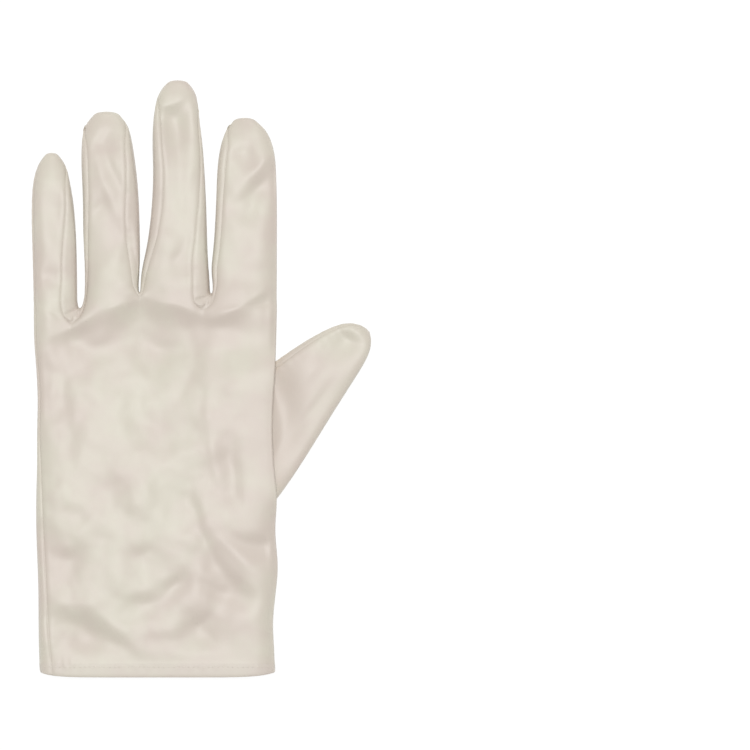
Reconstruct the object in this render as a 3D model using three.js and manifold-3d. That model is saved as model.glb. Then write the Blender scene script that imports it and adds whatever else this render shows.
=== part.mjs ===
// A short dress glove for the left hand, lying flat with its back upwards, in millimetres.
// +Z is up, +Y points to the fingertips and +X to the thumb. The glove rests on the plane z = 0.
//
// It is cut and sewn as the real one is. One cloth, the hand piece, covers the back and the palm: it folds
// round the index side, closes at the little finger's side, and ends in four fingers. Between the fingers it
// is open, and three forked strips, the fourchettes, fill the sides of the fingers there. The thumb is a
// tapered tube that comes out of a hole in the palm, under the folded side. The wrist edge is a narrow hem.
//
// All of the cloth but the thumb is one net of points, worked out in rows across the hand. Each piece is the
// part of that net between its seams, thickened inwards and drawn back from them by half of their clearance.
import * as THREE from "three";
import { mergeVertices } from "three/addons/utils/BufferGeometryUtils.js";
import Module from "manifold-3d";

const wasm = await Module();
wasm.setup();

// Driving dimensions.
const cloth = 1; // one layer of satin
const hemCloth = 2; // the folded hem, two layers
const seamGap = 0.3; // clearance between two pieces that are sewn together
const hemDepth = 4.6; // from the wrist edge to the line of hem stitches
const handLength = 142; // from the wrist edge to the knuckle line
const wristWidth = 90.5;
const handHeight = 13;
const knuckleHeight = 11.4;
const fingerHeight = 9.6;
const littleLength = 60;
const littleWidth = 17;
const ringLength = 75.5;
const ringWidth = 21.6;
const middleLength = 88;
const middleWidth = 22.3;
const indexLength = 73.5;
const indexWidth = 23.9;
const thumbStart = 67; // from the wrist edge to where the thumb's lower edge comes out beside the hand
const thumbRoot = 55; // from there to where its upper edge comes out
const thumbReach = 37; // how far it stands out beside the hand
const thumbHeight = 8;
const foldDepth = 1.5; // the deepest soft fold in the cloth

// How finely the net is drawn.
const columnsPerFinger = 5;
const sideSteps = 4; // steps from the back of the hand round to its palm, an even number
const handRows = 22;
const thumbSides = 20;

// Shape of the cross sections. A boxiness of 2 is an ellipse, and more is squarer.
const edgeLevel = 0.42; // height of the widest place on the side of a finger or thumb, in its heights
const handEdge = 0.3; // the same on the hand, in hand heights
const handSide = 0.02; // how much of the half width the hand's rounded side takes
const handFlat = 0.72; // how much of the half width lies flat on the surface
const backBoxiness = { hand: 5, finger: 2.4 };
const palmBoxiness = { hand: 4, finger: 6 };
const thumbBend = { across: 0.8, above: 0.7, below: 0.45 }; // powers of the sine and cosine, 1 is an ellipse

// The hand from the wrist edge, 0, to the knuckle line, 1. Width is a share of the straight line between
// wrist and knuckles, shift is sideways in wrist widths, and height is in hand heights.
const handSections = [
  { along: 0.0, width: 1.0, shift: 0.0, height: 0.84 },
  { along: 0.07, width: 1.0, shift: -0.004, height: 0.87 },
  { along: 0.15, width: 0.993, shift: -0.008, height: 0.91 },
  { along: 0.23, width: 1.003, shift: -0.002, height: 0.96 },
  { along: 0.3, width: 1.013, shift: 0.001, height: 1.0 },
  { along: 0.4, width: 1.003, shift: -0.008, height: 1.0 },
  { along: 0.48, width: 1.009, shift: -0.004, height: 1.0 },
  { along: 0.58, width: 0.987, shift: -0.009, height: 1.0 },
  { along: 0.67, width: 0.978, shift: -0.012, height: 1.0 },
  { along: 0.75, width: 0.976, shift: -0.009, height: 0.99 },
  { along: 0.83, width: 0.987, shift: -0.007, height: 0.97 },
  { along: 0.91, width: 0.998, shift: -0.01, height: 0.95 },
  { along: 1.0, width: 1.0, shift: -0.009, height: knuckleHeight / handHeight },
];

// Each finger from the knuckle line, 0, to its tip, 1. Root is the stretch of the knuckle line that it takes.
// Root, shift, width and the seams are in finger widths, and height is in finger heights. The seams lie
// inside the outline. The fourchettes end at a share of the finger's length.
const fingers = [
  {
    length: littleLength,
    width: littleWidth,
    root: 1.045,
    fourchetteEnds: { left: 0, right: 0.93 },
    sections: [
      { along: 0.05, shift: -0.03, width: 0.99, height: 1.1, seamLeft: 0.04, seamRight: 0.39 },
      { along: 0.16, shift: -0.035, width: 0.995, height: 1.02, seamLeft: 0.04, seamRight: 0.38 },
      { along: 0.3, shift: -0.045, width: 1.0, height: 1.0, seamLeft: 0.04, seamRight: 0.35 },
      { along: 0.45, shift: -0.06, width: 1.0, height: 1.0, seamLeft: 0.04, seamRight: 0.3 },
      { along: 0.58, shift: -0.08, width: 0.98, height: 1.0, seamLeft: 0.04, seamRight: 0.24 },
      { along: 0.7, shift: -0.1, width: 0.93, height: 0.98, seamLeft: 0.04, seamRight: 0.18 },
      { along: 0.8, shift: -0.12, width: 0.84, height: 0.93, seamLeft: 0.04, seamRight: 0.11 },
      { along: 0.88, shift: -0.12, width: 0.71, height: 0.84, seamLeft: 0.04, seamRight: 0.06 },
      { along: 0.94, shift: -0.12, width: 0.54, height: 0.7, seamLeft: 0.04, seamRight: 0.04 },
      { along: 0.983, shift: -0.12, width: 0.3, height: 0.46, seamLeft: 0.03, seamRight: 0.03 },
    ],
  },
  {
    length: ringLength,
    width: ringWidth,
    root: 1.063,
    fourchetteEnds: { left: 0.94, right: 0.97 },
    sections: [
      { along: 0.04, shift: 0.03, width: 0.965, height: 1.18, seamLeft: 0.02, seamRight: 0.09 },
      { along: 0.13, shift: 0.045, width: 0.97, height: 1.09, seamLeft: 0.04, seamRight: 0.14 },
      { along: 0.25, shift: 0.045, width: 0.995, height: 1.0, seamLeft: 0.06, seamRight: 0.2 },
      { along: 0.4, shift: 0.03, width: 1.015, height: 1.0, seamLeft: 0.09, seamRight: 0.27 },
      { along: 0.55, shift: 0.02, width: 1.0, height: 1.0, seamLeft: 0.11, seamRight: 0.24 },
      { along: 0.68, shift: -0.01, width: 0.985, height: 0.99, seamLeft: 0.12, seamRight: 0.19 },
      { along: 0.79, shift: -0.04, width: 0.94, height: 0.95, seamLeft: 0.12, seamRight: 0.16 },
      { along: 0.87, shift: -0.06, width: 0.85, height: 0.87, seamLeft: 0.09, seamRight: 0.12 },
      { along: 0.93, shift: -0.065, width: 0.71, height: 0.75, seamLeft: 0.05, seamRight: 0.08 },
      { along: 0.983, shift: -0.065, width: 0.4, height: 0.48, seamLeft: 0.03, seamRight: 0.04 },
    ],
  },
  {
    length: middleLength,
    width: middleWidth,
    root: 1.233,
    fourchetteEnds: { left: 0.95, right: 0.88 },
    sections: [
      { along: 0.04, shift: 0.0, width: 1.2, height: 1.2, seamLeft: 0.06, seamRight: 0.3 },
      { along: 0.12, shift: 0.0, width: 1.16, height: 1.1, seamLeft: 0.1, seamRight: 0.31 },
      { along: 0.22, shift: 0.025, width: 1.07, height: 1.0, seamLeft: 0.13, seamRight: 0.26 },
      { along: 0.34, shift: 0.05, width: 1.0, height: 1.0, seamLeft: 0.17, seamRight: 0.2 },
      { along: 0.47, shift: 0.065, width: 0.935, height: 1.0, seamLeft: 0.2, seamRight: 0.12 },
      { along: 0.6, shift: 0.06, width: 0.89, height: 0.99, seamLeft: 0.2, seamRight: 0.1 },
      { along: 0.72, shift: 0.035, width: 0.87, height: 0.97, seamLeft: 0.18, seamRight: 0.09 },
      { along: 0.82, shift: 0.015, width: 0.8, height: 0.92, seamLeft: 0.15, seamRight: 0.06 },
      { along: 0.9, shift: 0.02, width: 0.7, height: 0.82, seamLeft: 0.09, seamRight: 0.03 },
      { along: 0.95, shift: 0.03, width: 0.57, height: 0.68, seamLeft: 0.05, seamRight: 0.03 },
      { along: 0.987, shift: 0.03, width: 0.32, height: 0.45, seamLeft: 0.03, seamRight: 0.03 },
    ],
  },
  {
    length: indexLength,
    width: indexWidth,
    root: 1.065,
    fourchetteEnds: { left: 0.97, right: 0 },
    sections: [
      { along: 0.05, shift: 0.01, width: 1.03, height: 1.16, seamLeft: 0.07, seamRight: 0.04 },
      { along: 0.15, shift: 0.0, width: 1.06, height: 1.07, seamLeft: 0.085, seamRight: 0.04 },
      { along: 0.28, shift: 0.015, width: 1.03, height: 1.0, seamLeft: 0.1, seamRight: 0.04 },
      { along: 0.42, shift: 0.03, width: 1.005, height: 1.0, seamLeft: 0.105, seamRight: 0.04 },
      { along: 0.57, shift: 0.04, width: 0.98, height: 1.0, seamLeft: 0.11, seamRight: 0.04 },
      { along: 0.7, shift: 0.04, width: 0.955, height: 0.98, seamLeft: 0.13, seamRight: 0.04 },
      { along: 0.8, shift: 0.045, width: 0.91, height: 0.93, seamLeft: 0.14, seamRight: 0.04 },
      { along: 0.88, shift: 0.035, width: 0.77, height: 0.84, seamLeft: 0.14, seamRight: 0.04 },
      { along: 0.94, shift: 0.02, width: 0.58, height: 0.7, seamLeft: 0.1, seamRight: 0.03 },
      { along: 0.983, shift: 0.0, width: 0.32, height: 0.46, seamLeft: 0.04, seamRight: 0.03 },
    ],
  },
];

// The three places where two fingers part, from left to right. Seam is the lowest point of the U that the
// seam makes there, with its shoulders at left and right, and gap is the bottom of the open gap, which
// spreads to both sides. All are from the place on the knuckle line where the two roots meet: x and spread
// in widths of the two fingers together, y in knuckle heights. Level is in finger heights.
const partings = [
  {
    strip: "fourchette_little_ring",
    seam: { x: -0.1, y: -0.54, level: 0.74 },
    left: { x: -0.19, y: -0.24, level: 0.84 },
    right: { x: 0.012, y: -0.34, level: 0.66 },
    gap: { x: 0.0, y: 0.02, level: edgeLevel, spread: 0.016 },
  },
  {
    strip: "fourchette_ring_middle",
    seam: { x: 0.005, y: 0.36, level: 0.7 },
    left: { x: -0.02, y: 0.56, level: 0.64 },
    right: { x: 0.03, y: 0.6, level: 0.66 },
    gap: { x: 0.0, y: 0.52, level: edgeLevel, spread: 0.008 },
  },
  {
    strip: "fourchette_middle_index",
    seam: { x: -0.075, y: -0.08, level: 0.74 },
    left: { x: -0.16, y: 0.14, level: 0.8 },
    right: { x: 0.012, y: 0.08, level: 0.66 },
    gap: { x: 0.004, y: 0.52, level: edgeLevel, spread: 0.012 },
  },
];
const dent = { width: 0.09, length: 0.1 }; // of the back at a parting, in wrist widths and hand lengths
const slantEnd = 0.4; // up to here, in finger lengths, a finger's rows slant from gap to gap
const gapFoot = 0.2; // how far above the gap's bottom, in millimetres, the next row starts
const outerFoot = 0.4; // where that row starts on the outer side of the hand, as a share of the first section

// Soft folds of the back, ridges with rise above 0 and hollows below. Across runs from the left edge, -1, to
// the right, 1, and along from the wrist edge to the knuckle line. Angle is from +X; long and wide are half
// sizes in wrist widths, and rise is in fold depths.
const folds = [
  { across: -0.58, along: 0.94, angle: 27, long: 0.2, wide: 0.04, rise: -0.9 },
  { across: 0.06, along: 0.96, angle: -16, long: 0.18, wide: 0.05, rise: -1.0 },
  { across: 0.58, along: 0.97, angle: 32, long: 0.13, wide: 0.035, rise: -0.9 },
  { across: 0.0, along: 0.84, angle: 2, long: 0.3, wide: 0.08, rise: 0.6 },
  { across: -0.66, along: 0.72, angle: 80, long: 0.2, wide: 0.06, rise: 0.5 },
  { across: -0.3, along: 0.6, angle: 98, long: 0.2, wide: 0.06, rise: -0.4 },
  { across: 0.1, along: 0.5, angle: 110, long: 0.24, wide: 0.05, rise: 0.4 },
  { across: 0.44, along: 0.59, angle: 100, long: 0.16, wide: 0.04, rise: 0.5 },
  { across: 0.64, along: 0.55, angle: 98, long: 0.2, wide: 0.04, rise: -0.4 },
  { across: 0.76, along: 0.35, angle: 4, long: 0.1, wide: 0.04, rise: -0.7 },
  { across: 0.6, along: 0.33, angle: -38, long: 0.13, wide: 0.035, rise: 0.5 },
  { across: 0.56, along: 0.28, angle: -44, long: 0.12, wide: 0.04, rise: -1.0 },
  { across: 0.05, along: 0.23, angle: 12, long: 0.17, wide: 0.04, rise: -0.9 },
  { across: -0.73, along: 0.32, angle: 10, long: 0.06, wide: 0.05, rise: -0.7 },
  { across: -0.09, along: 0.34, angle: 10, long: 0.06, wide: 0.04, rise: -0.5 },
  { across: -0.57, along: 0.14, angle: -27, long: 0.14, wide: 0.045, rise: -1.0 },
  { across: -0.34, along: 0.12, angle: -42, long: 0.16, wide: 0.04, rise: 0.5 },
  { across: 0.33, along: 0.14, angle: 30, long: 0.06, wide: 0.05, rise: -0.6 },
];
const foldFade = { from: 0.75, to: 0.97 }; // the folds die out towards the sides, in half widths

// The thumb as pairs of points on its upper and lower outline, from its rounded base under the palm, past the
// side of the hand, to its tip. x is from the side of the hand in thumb reaches, y from the thumb's start in
// thumb roots, and height in thumb heights.
const thumbSections = [
  { upperX: -0.9, upperY: 0.48, lowerX: -0.9, lowerY: 0.07, height: 1.0 },
  { upperX: -0.84, upperY: 0.64, lowerX: -0.8, lowerY: -0.09, height: 1.0 },
  { upperX: -0.64, upperY: 0.75, lowerX: -0.6, lowerY: -0.19, height: 1.0 },
  { upperX: -0.38, upperY: 0.85, lowerX: -0.36, lowerY: -0.21, height: 1.0 },
  { upperX: -0.16, upperY: 0.93, lowerX: -0.16, lowerY: -0.11, height: 1.0 },
  { upperX: 0.0, upperY: 1.0, lowerX: 0.0, lowerY: 0.01, height: 1.0 },
  { upperX: 0.15, upperY: 1.07, lowerX: 0.22, lowerY: 0.22, height: 1.0 },
  { upperX: 0.31, upperY: 1.14, lowerX: 0.45, lowerY: 0.47, height: 1.0 },
  { upperX: 0.47, upperY: 1.2, lowerX: 0.66, lowerY: 0.7, height: 1.0 },
  { upperX: 0.62, upperY: 1.245, lowerX: 0.83, lowerY: 0.876, height: 0.98 },
  { upperX: 0.73, upperY: 1.263, lowerX: 0.94, lowerY: 0.997, height: 0.9 },
  { upperX: 0.83, upperY: 1.26, lowerX: 0.99, lowerY: 1.08, height: 0.74 },
  { upperX: 0.92, upperY: 1.235, lowerX: 0.995, lowerY: 1.144, height: 0.5 },
];
const thumbTip = { x: 0.975, y: 1.2, blunt: 0.15 }; // blunt is the tip's flat, as a share of the last section

// The palm is raised over the thumb. Lengthwise, in thumb roots from the thumb's start, it rises between from
// and full, and comes down again between stillFull and to. Crosswise, in thumb reaches inwards from the side
// of the hand, it slopes down between slopeStart and slopeEnd.
const passage = { from: -0.19, full: 0.07, stillFull: 0.96, to: 1.2, slopeStart: 0.17, slopeEnd: 0.92 };

// The corners of the wrist edge are rounded off. They are drawn back by a share of the hem's depth, and only
// close to the sides.
const hemCorner = { back: 0.4, power: 8 };

const satin = new THREE.MeshStandardMaterial({ color: 0xdbd4c9, roughness: 0.55, metalness: 0 });
const hemSatin = new THREE.MeshStandardMaterial({ color: 0xd9d2c6, roughness: 0.6, metalness: 0 });

const { Vector3 } = THREE;
const { clamp, lerp, smoothstep, degToRad } = THREE.MathUtils;
const sum = (numbers) => numbers.reduce((total, number) => total + number, 0);
const sumOf = (points) => points.reduce((total, point) => total.add(point), new Vector3());
const centreOf = (ring) => sumOf(ring).divideScalar(ring.length);

// The height of an arch of height 1 over a place between -1 and 1.
const arch = (across, boxiness) => Math.sqrt(1 - clamp(Math.abs(across), 0, 1) ** boxiness);

// Reads a table of sections at one place along it. A smooth curve joins the rows.
function readTable(rows, place, column) {
  const last = rows.length - 1;
  const found = rows.findIndex((row) => row.along >= place);
  if (found === 0) return rows[0][column];
  if (found < 0) return rows[last][column];
  const [low, high] = [rows[found - 1], rows[found]];
  const before = rows[Math.max(found - 2, 0)];
  const after = rows[Math.min(found + 1, last)];
  const step = high.along - low.along;
  const slope = (a, b) => ((b[column] - a[column]) / (b.along - a.along)) * step;
  const [startSlope, endSlope] = [slope(before, high), slope(low, after)];
  const t = (place - low.along) / step;
  const eased = lerp(low[column], high[column], t * t * (3 - 2 * t));
  return eased + t * (1 - t) * ((1 - t) * startSlope - t * endSlope);
}

// The fingers' roots share out the knuckle line from left to right.
const roots = fingers.map((finger) => finger.root * finger.width);
const knuckleWidth = sum(roots);
const knuckleCentre = handSections.at(-1).shift * wristWidth;
const rootStart = (i) => knuckleCentre - knuckleWidth / 2 + sum(roots.slice(0, i));

// The outline of the hand at a distance from the wrist edge.
function handAt(y) {
  const along = y / handLength;
  const fullWidth = lerp(wristWidth, knuckleWidth, clamp(along, 0, 1));
  return {
    along,
    half: (readTable(handSections, along, "width") * fullWidth) / 2,
    centre: readTable(handSections, along, "shift") * wristWidth,
    top: readTable(handSections, along, "height") * handHeight,
  };
}

// How far the palm is raised over the thumb at a place.
const passageHeight = thumbHeight + 2 * seamGap;
function liftAt(x, y) {
  const { half, centre } = handAt(y);
  const up = (y - thumbStart) / thumbRoot;
  const inwards = (centre + half - x) / thumbReach;
  const rising = smoothstep(up, passage.from, passage.full);
  const falling = 1 - smoothstep(up, passage.stillFull, passage.to);
  const sloping = 1 - smoothstep(inwards, passage.slopeStart, passage.slopeEnd);
  return passageHeight * rising * falling * sloping;
}

// What the soft folds add to the back at a place.
function foldAt(x, y) {
  const { along, half, centre } = handAt(y);
  const fade = 1 - smoothstep(Math.abs(x - centre) / half, foldFade.from, foldFade.to);
  const rises = folds.map((fold) => {
    const turn = degToRad(fold.angle);
    const dx = x - (centre + fold.across * half);
    const dy = (along - fold.along) * handLength;
    const lengthwise = (dx * Math.cos(turn) + dy * Math.sin(turn)) / (fold.long * wristWidth);
    const crosswise = (dy * Math.cos(turn) - dx * Math.sin(turn)) / (fold.wide * wristWidth);
    return fold.rise * Math.exp(-(lengthwise ** 2) - crosswise ** 2);
  });
  return foldDepth * fade * sum(rises);
}

const pairWidth = (k) => fingers[k].width + fingers[k + 1].width;
function partingPoint(k, { x, y, level }) {
  const across = rootStart(k + 1) + x * pairWidth(k);
  return new Vector3(across, handLength + y * knuckleHeight, level * fingerHeight);
}
const seamPoints = partings.map((parting, k) => partingPoint(k, parting.seam));

// What the partings take off the back behind them.
function dentAt(x, y) {
  const depths = seamPoints.map((seam) => {
    const sideways = (x - seam.x) / (dent.width * wristWidth);
    const lengthwise = (y - seam.y) / (dent.length * handLength);
    return (knuckleHeight - seam.z) * Math.exp(-(sideways ** 2) - lengthwise ** 2);
  });
  return sum(depths);
}

function backHeight(x, y) {
  const { half, centre, top } = handAt(y);
  const raisedSide = x > centre ? liftAt(centre + half, y) + 2 * cloth : 0;
  const edge = Math.max(handEdge * handHeight, raisedSide);
  const crown = Math.max(top, edge + cloth);
  const dome = lerp(edge, crown, arch((x - centre) / half, backBoxiness.hand));
  return dome - dentAt(x, y) + foldAt(x, y);
}

function palmHeight(x, y) {
  const { half, centre } = handAt(y);
  const beyondFlat = clamp((Math.abs(x - centre) / half - handFlat) / (1 - handFlat), 0, 1);
  const rounded = handEdge * handHeight * (1 - arch(beyondFlat, palmBoxiness.hand));
  return Math.max(rounded, liftAt(x, y));
}

// The net is a list of points, and of faces that know which piece they belong to.
const points = [];
const faces = [];
const addPoint = (point) => points.push(point) - 1;

// The points round one side, from the back over the widest place to the palm, without the two ends.
function sidePoints(back, widest, palm) {
  return Array.from({ length: sideSteps - 1 }, (_, i) => {
    const turn = (Math.PI * (i + 1)) / sideSteps;
    const from = turn < Math.PI / 2 ? back : palm;
    const point = from.clone().lerp(widest, Math.sin(turn));
    return point.setZ(widest.z + (from.z - widest.z) * Math.abs(Math.cos(turn)));
  });
}

// A row runs round the hand or a finger. Its back and its palm go from left to right.
function rowOf(back, palm, leftmost, rightmost) {
  return {
    back,
    palm,
    left: sidePoints(back[0], leftmost, palm[0]),
    right: sidePoints(back.at(-1), rightmost, palm.at(-1)),
  };
}

const loopOf = (row) => [...row.back, ...row.right, ...row.palm.toReversed(), ...row.left.toReversed()];
const addRow = ({ back, palm, left, right }) => ({
  back: back.map(addPoint),
  palm: palm.map(addPoint),
  left: left.map(addPoint),
  right: right.map(addPoint),
});

// Joins two rows. Each of the two sides may belong to another piece than the rest.
const handPiece = "hand_piece";
function joinRows(low, high, leftPiece = handPiece, rightPiece = handPiece) {
  const join = (a, b, piece) => {
    for (let i = 0; i + 1 < a.length; i++) faces.push({ corners: [a[i], a[i + 1], b[i + 1], b[i]], piece });
  };
  const left = (row) => [row.back[0], ...row.left, row.palm[0]];
  const right = (row) => [row.back.at(-1), ...row.right, row.palm.at(-1)];
  join(low.back, high.back, handPiece);
  join(right(low), right(high), rightPiece);
  join(high.palm, low.palm, handPiece);
  join(left(high), left(low), leftPiece);
}

// The last row across the hand runs from seam point to seam point, and the rows before it follow its shape.
const lastRow = (() => {
  const { half, centre } = handAt(handLength);
  const left = new Vector3(centre - half * (1 - handSide), handLength, 0);
  const right = new Vector3(centre + half * (1 - handSide), handLength, 0);
  const stops = [left, ...seamPoints, right];
  const columnShares = Array.from({ length: columnsPerFinger }, (_, c) => c / columnsPerFinger);
  const stretch = (i) => columnShares.map((share) => stops[i].clone().lerp(stops[i + 1], share));
  return [...fingers.flatMap((_, i) => stretch(i)), right];
})();

function handRow(share, start) {
  const spots = lastRow.map((point) => {
    const y = lerp(start, point.y, share);
    const { half, centre } = handAt(y);
    return [centre + ((point.x - knuckleCentre) / (knuckleWidth / 2)) * half, y];
  });
  const back = spots.map(([x, y]) => new Vector3(x, y, backHeight(x, y)));
  const palm = spots.map(([x, y]) => new Vector3(x, y, palmHeight(x, y)));
  const y = back[0].y;
  const { half, centre } = handAt(y);
  const level = handEdge * handHeight;
  const raised = Math.max(level, (back.at(-1).z + palm.at(-1).z) / 2);
  return rowOf(back, palm, new Vector3(centre - half, y, level), new Vector3(centre + half, y, raised));
}

const rows = Array.from({ length: handRows + 1 }, (_, r) => addRow(handRow(r / handRows, hemDepth)));
rows.slice(1).forEach((row, r) => joinRows(rows[r], row));

// At each parting a column of points runs from the back's seam over the gap's bottom to the palm's seam.
const knuckles = rows.at(-1);
const columns = partings.map((parting, k) => {
  const at = (k + 1) * columnsPerFinger;
  const bottom = partingPoint(k, parting.gap);
  return sidePoints(points[knuckles.back[at]], bottom, points[knuckles.palm[at]]).map(addPoint);
});

// One row round a finger. Its seams lie inside its outline, and the strips between them bulge. Low down, the
// row slants from the gap on one side of the finger to the gap on the other.
const gapRise = (k) => (partings[k] ? partings[k].gap.y * knuckleHeight : 0);
function fingerRow(i, section) {
  const { length, width } = fingers[i];
  const slant = 1 - smoothstep(section.along, 0, slantEnd);
  const centre = rootStart(i) + roots[i] / 2 + section.shift * width;
  const half = (section.width * width) / 2;
  const level = edgeLevel * fingerHeight;
  const crown = level + (fingerHeight - level) * section.height;
  const sole = level * (1 - Math.min(1, section.height) ** 0.7);
  const place = (u, z) => {
    const rise = slant * lerp(gapRise(i - 1), gapRise(i), (u + 1) / 2);
    return new Vector3(centre + u * half, handLength + section.along * length + rise, z);
  };
  const from = (2 * section.seamLeft) / section.width - 1;
  const to = 1 - (2 * section.seamRight) / section.width;
  const across = Array.from({ length: columnsPerFinger + 1 }, (_, c) => lerp(from, to, c / columnsPerFinger));
  const back = across.map((u) => place(u, lerp(level, crown, arch(u, backBoxiness.finger))));
  const palm = across.map((u) => place(u, lerp(level, sole, arch(u, palmBoxiness.finger))));
  return rowOf(back, palm, place(-1, level), place(1, level));
}

// The first row of a finger. Beside a parting its seams stand on the U's shoulders. On the outer side of the
// hand they go straight on.
function footRow(i) {
  const { sections, length } = fingers[i];
  const first = fingerRow(i, sections[0]);
  const footOf = (end, side, k, shoulder) => {
    if (!partings[k]) {
      const { half, centre } = handAt(handLength);
      const y = handLength + outerFoot * sections[0].along * length;
      const widest = new Vector3(centre + side * half, y, edgeLevel * fingerHeight);
      return { back: first.back.at(end).clone().setY(y), palm: first.palm.at(end).clone().setY(y), widest };
    }
    const back = partingPoint(k, partings[k][shoulder]);
    const palm = back.clone().setZ(first.palm.at(end).z);
    const widest = partingPoint(k, partings[k].gap);
    widest.x -= side * partings[k].gap.spread * pairWidth(k);
    widest.y = Math.max(widest.y, back.y) + gapFoot;
    return { back, palm, widest };
  };
  const left = footOf(0, -1, i - 1, "right");
  const right = footOf(-1, 1, i, "left");
  const fit = (line, from, to) =>
    line.map((point, c) => {
      const share = c / columnsPerFinger;
      const change = lerp(from.z - line[0].z, to.z - line.at(-1).z, share);
      return from.clone().lerp(to, share).setZ(point.z + change);
    });
  const back = fit(first.back, left.back, right.back);
  const palm = fit(first.palm, left.palm, right.palm);
  return rowOf(back, palm, left.widest, right.widest);
}

fingers.forEach(({ length, width, sections, fourchetteEnds }, i) => {
  const from = i * columnsPerFinger;
  const to = from + columnsPerFinger + 1;
  let low = {
    back: knuckles.back.slice(from, to),
    palm: knuckles.palm.slice(from, to),
    left: columns[i - 1] ?? knuckles.left,
    right: columns[i] ?? knuckles.right,
  };
  const pieceAt = (along, k, end) => (along < end ? partings[k].strip : handPiece);
  const starts = [0, 0, ...sections.map((section) => section.along)];
  [footRow(i), ...sections.map((section) => fingerRow(i, section))].forEach((row, r) => {
    const high = addRow(row);
    const left = pieceAt(starts[r], i - 1, fourchetteEnds.left);
    const right = pieceAt(starts[r], i, fourchetteEnds.right);
    joinRows(low, high, left, right);
    low = high;
  });
  const tipX = rootStart(i) + roots[i] / 2 + sections.at(-1).shift * width;
  const tip = addPoint(new Vector3(tipX, handLength + length, edgeLevel * fingerHeight));
  const loop = loopOf(low);
  loop.forEach((point, n) => {
    faces.push({ corners: [point, loop[(n + 1) % loop.length], tip], piece: handPiece });
  });
});

// The inner side of the cloth lies one cloth below each point, along the normal there.
const triangles = ([a, b, c, d]) => (d === undefined ? [[a, b, c]] : [[a, b, c], [a, c, d]]);
const normals = points.map(() => new Vector3());
faces.flatMap((face) => triangles(face.corners)).forEach((corners) => {
  const [a, b, c] = corners.map((number) => points[number]);
  const normal = b.clone().sub(a).cross(c.clone().sub(a));
  corners.forEach((number) => normals[number].add(normal));
});
normals.forEach((normal) => normal.normalize());
const belowCloth = (point, number) => point.clone().addScaledVector(normals[number], -cloth);

function closedGeometry(vertices, corners) {
  const geometry = new THREE.BufferGeometry();
  const position = new THREE.Float32BufferAttribute(vertices.flatMap((v) => v.toArray()), 3);
  geometry.setAttribute("position", position);
  geometry.setIndex(corners.flat());
  return geometry;
}

// One piece as a solid: the faces of its outer side, those of its inner side, and a rim along its seams.
function sewnPiece(name) {
  const own = faces.filter((face) => face.piece === name);
  const numbers = [...new Set(own.flatMap((face) => face.corners))];
  const placeOf = new Map(numbers.map((number, n) => [number, n]));
  const outside = own.flatMap((face) => triangles(face.corners)).map((t) => t.map((n) => placeOf.get(n)));
  const edges = new Map();
  const edgesOf = ([a, b, c]) => [[a, b], [b, c], [c, a]];
  outside.flatMap(edgesOf).forEach((edge) => edges.set(edge.join(), edge));
  const rim = [...edges.values()].filter(([a, b]) => !edges.has([b, a].join()));

  const outer = numbers.map((number) => points[number].clone());
  const direction = new Map(rim.flat().map((n) => [n, new Vector3()]));
  rim.forEach(([a, b]) => {
    const edge = outer[b].clone().sub(outer[a]).normalize();
    direction.get(a).add(edge);
    direction.get(b).add(edge);
  });
  direction.forEach((edge, n) => {
    const awayFromSeam = normals[numbers[n]].clone().cross(edge).normalize();
    outer[n].addScaledVector(awayFromSeam, seamGap / 2);
  });

  const inner = outer.map((point, n) => belowCloth(point, numbers[n]));
  const under = outer.length;
  const inside = outside.map(([a, b, c]) => [c + under, b + under, a + under]);
  const rimFaces = rim.flatMap(([a, b]) => [[b, a, a + under], [b, a + under, b + under]]);
  return closedGeometry([...outer, ...inner], [...outside, ...inside, ...rimFaces]);
}

// Rings of points, one behind another, as a closed shape with flat ends.
function ringGeometry(rings) {
  const count = rings[0].length;
  const vertices = [...rings.flat(), centreOf(rings[0]), centreOf(rings.at(-1))];
  const [first, last] = [vertices.length - 2, vertices.length - 1];
  const end = (rings.length - 1) * count;
  const corners = [];
  for (let i = 0; i < count; i++) {
    const j = (i + 1) % count;
    for (let low = 0; low < end; low += count) {
      const high = low + count;
      corners.push([low + i, low + j, high + j], [low + i, high + j, high + i]);
    }
    corners.push([j, i, first], [end + i, end + j, last]);
  }
  return closedGeometry(vertices, corners);
}

function toSolid(geometry) {
  const merged = mergeVertices(geometry, 1e-4);
  const vertProperties = new Float32Array(merged.attributes.position.array);
  const triVerts = new Uint32Array(merged.index.array);
  return new wasm.Manifold(new wasm.Mesh({ numProp: 3, vertProperties, triVerts }));
}

function fromSolid(solid) {
  const mesh = solid.getMesh();
  const geometry = new THREE.BufferGeometry();
  geometry.setAttribute("position", new THREE.BufferAttribute(mesh.vertProperties, 3));
  geometry.setIndex(new THREE.BufferAttribute(mesh.triVerts, 1));
  return geometry;
}

// The hem goes on where the hand piece ends, and is thickened inwards.
const hemLength = hemDepth - seamGap / 2;
function hemRing(share, thickness) {
  const { half, centre } = handAt(0);
  const ring = loopOf(handRow(0, share * hemLength));
  const drawnBack = hemCorner.back * hemDepth * (1 - share);
  return ring.map((point, n) => {
    const before = ring.at(n - 1);
    const after = ring[(n + 1) % ring.length];
    const inwards = new Vector3(after.z - before.z, 0, before.x - after.x).normalize();
    const moved = point.clone().addScaledVector(inwards, thickness);
    moved.y += drawnBack * (Math.abs(point.x - centre) / half) ** hemCorner.power;
    return moved;
  });
}

function hemSolid() {
  const outside = [0, 0.5, 1].map((share) => hemRing(share, 0));
  const inside = [0, 0.5, 1].map((share) => hemRing(share, hemCloth));
  const before = inside[0].map((point) => point.clone().setY(-hemDepth));
  const behind = inside.at(-1).map((point) => point.clone().setY(2 * hemDepth));
  return toSolid(ringGeometry(outside)).subtract(toSolid(ringGeometry([before, ...inside, behind])));
}

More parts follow.
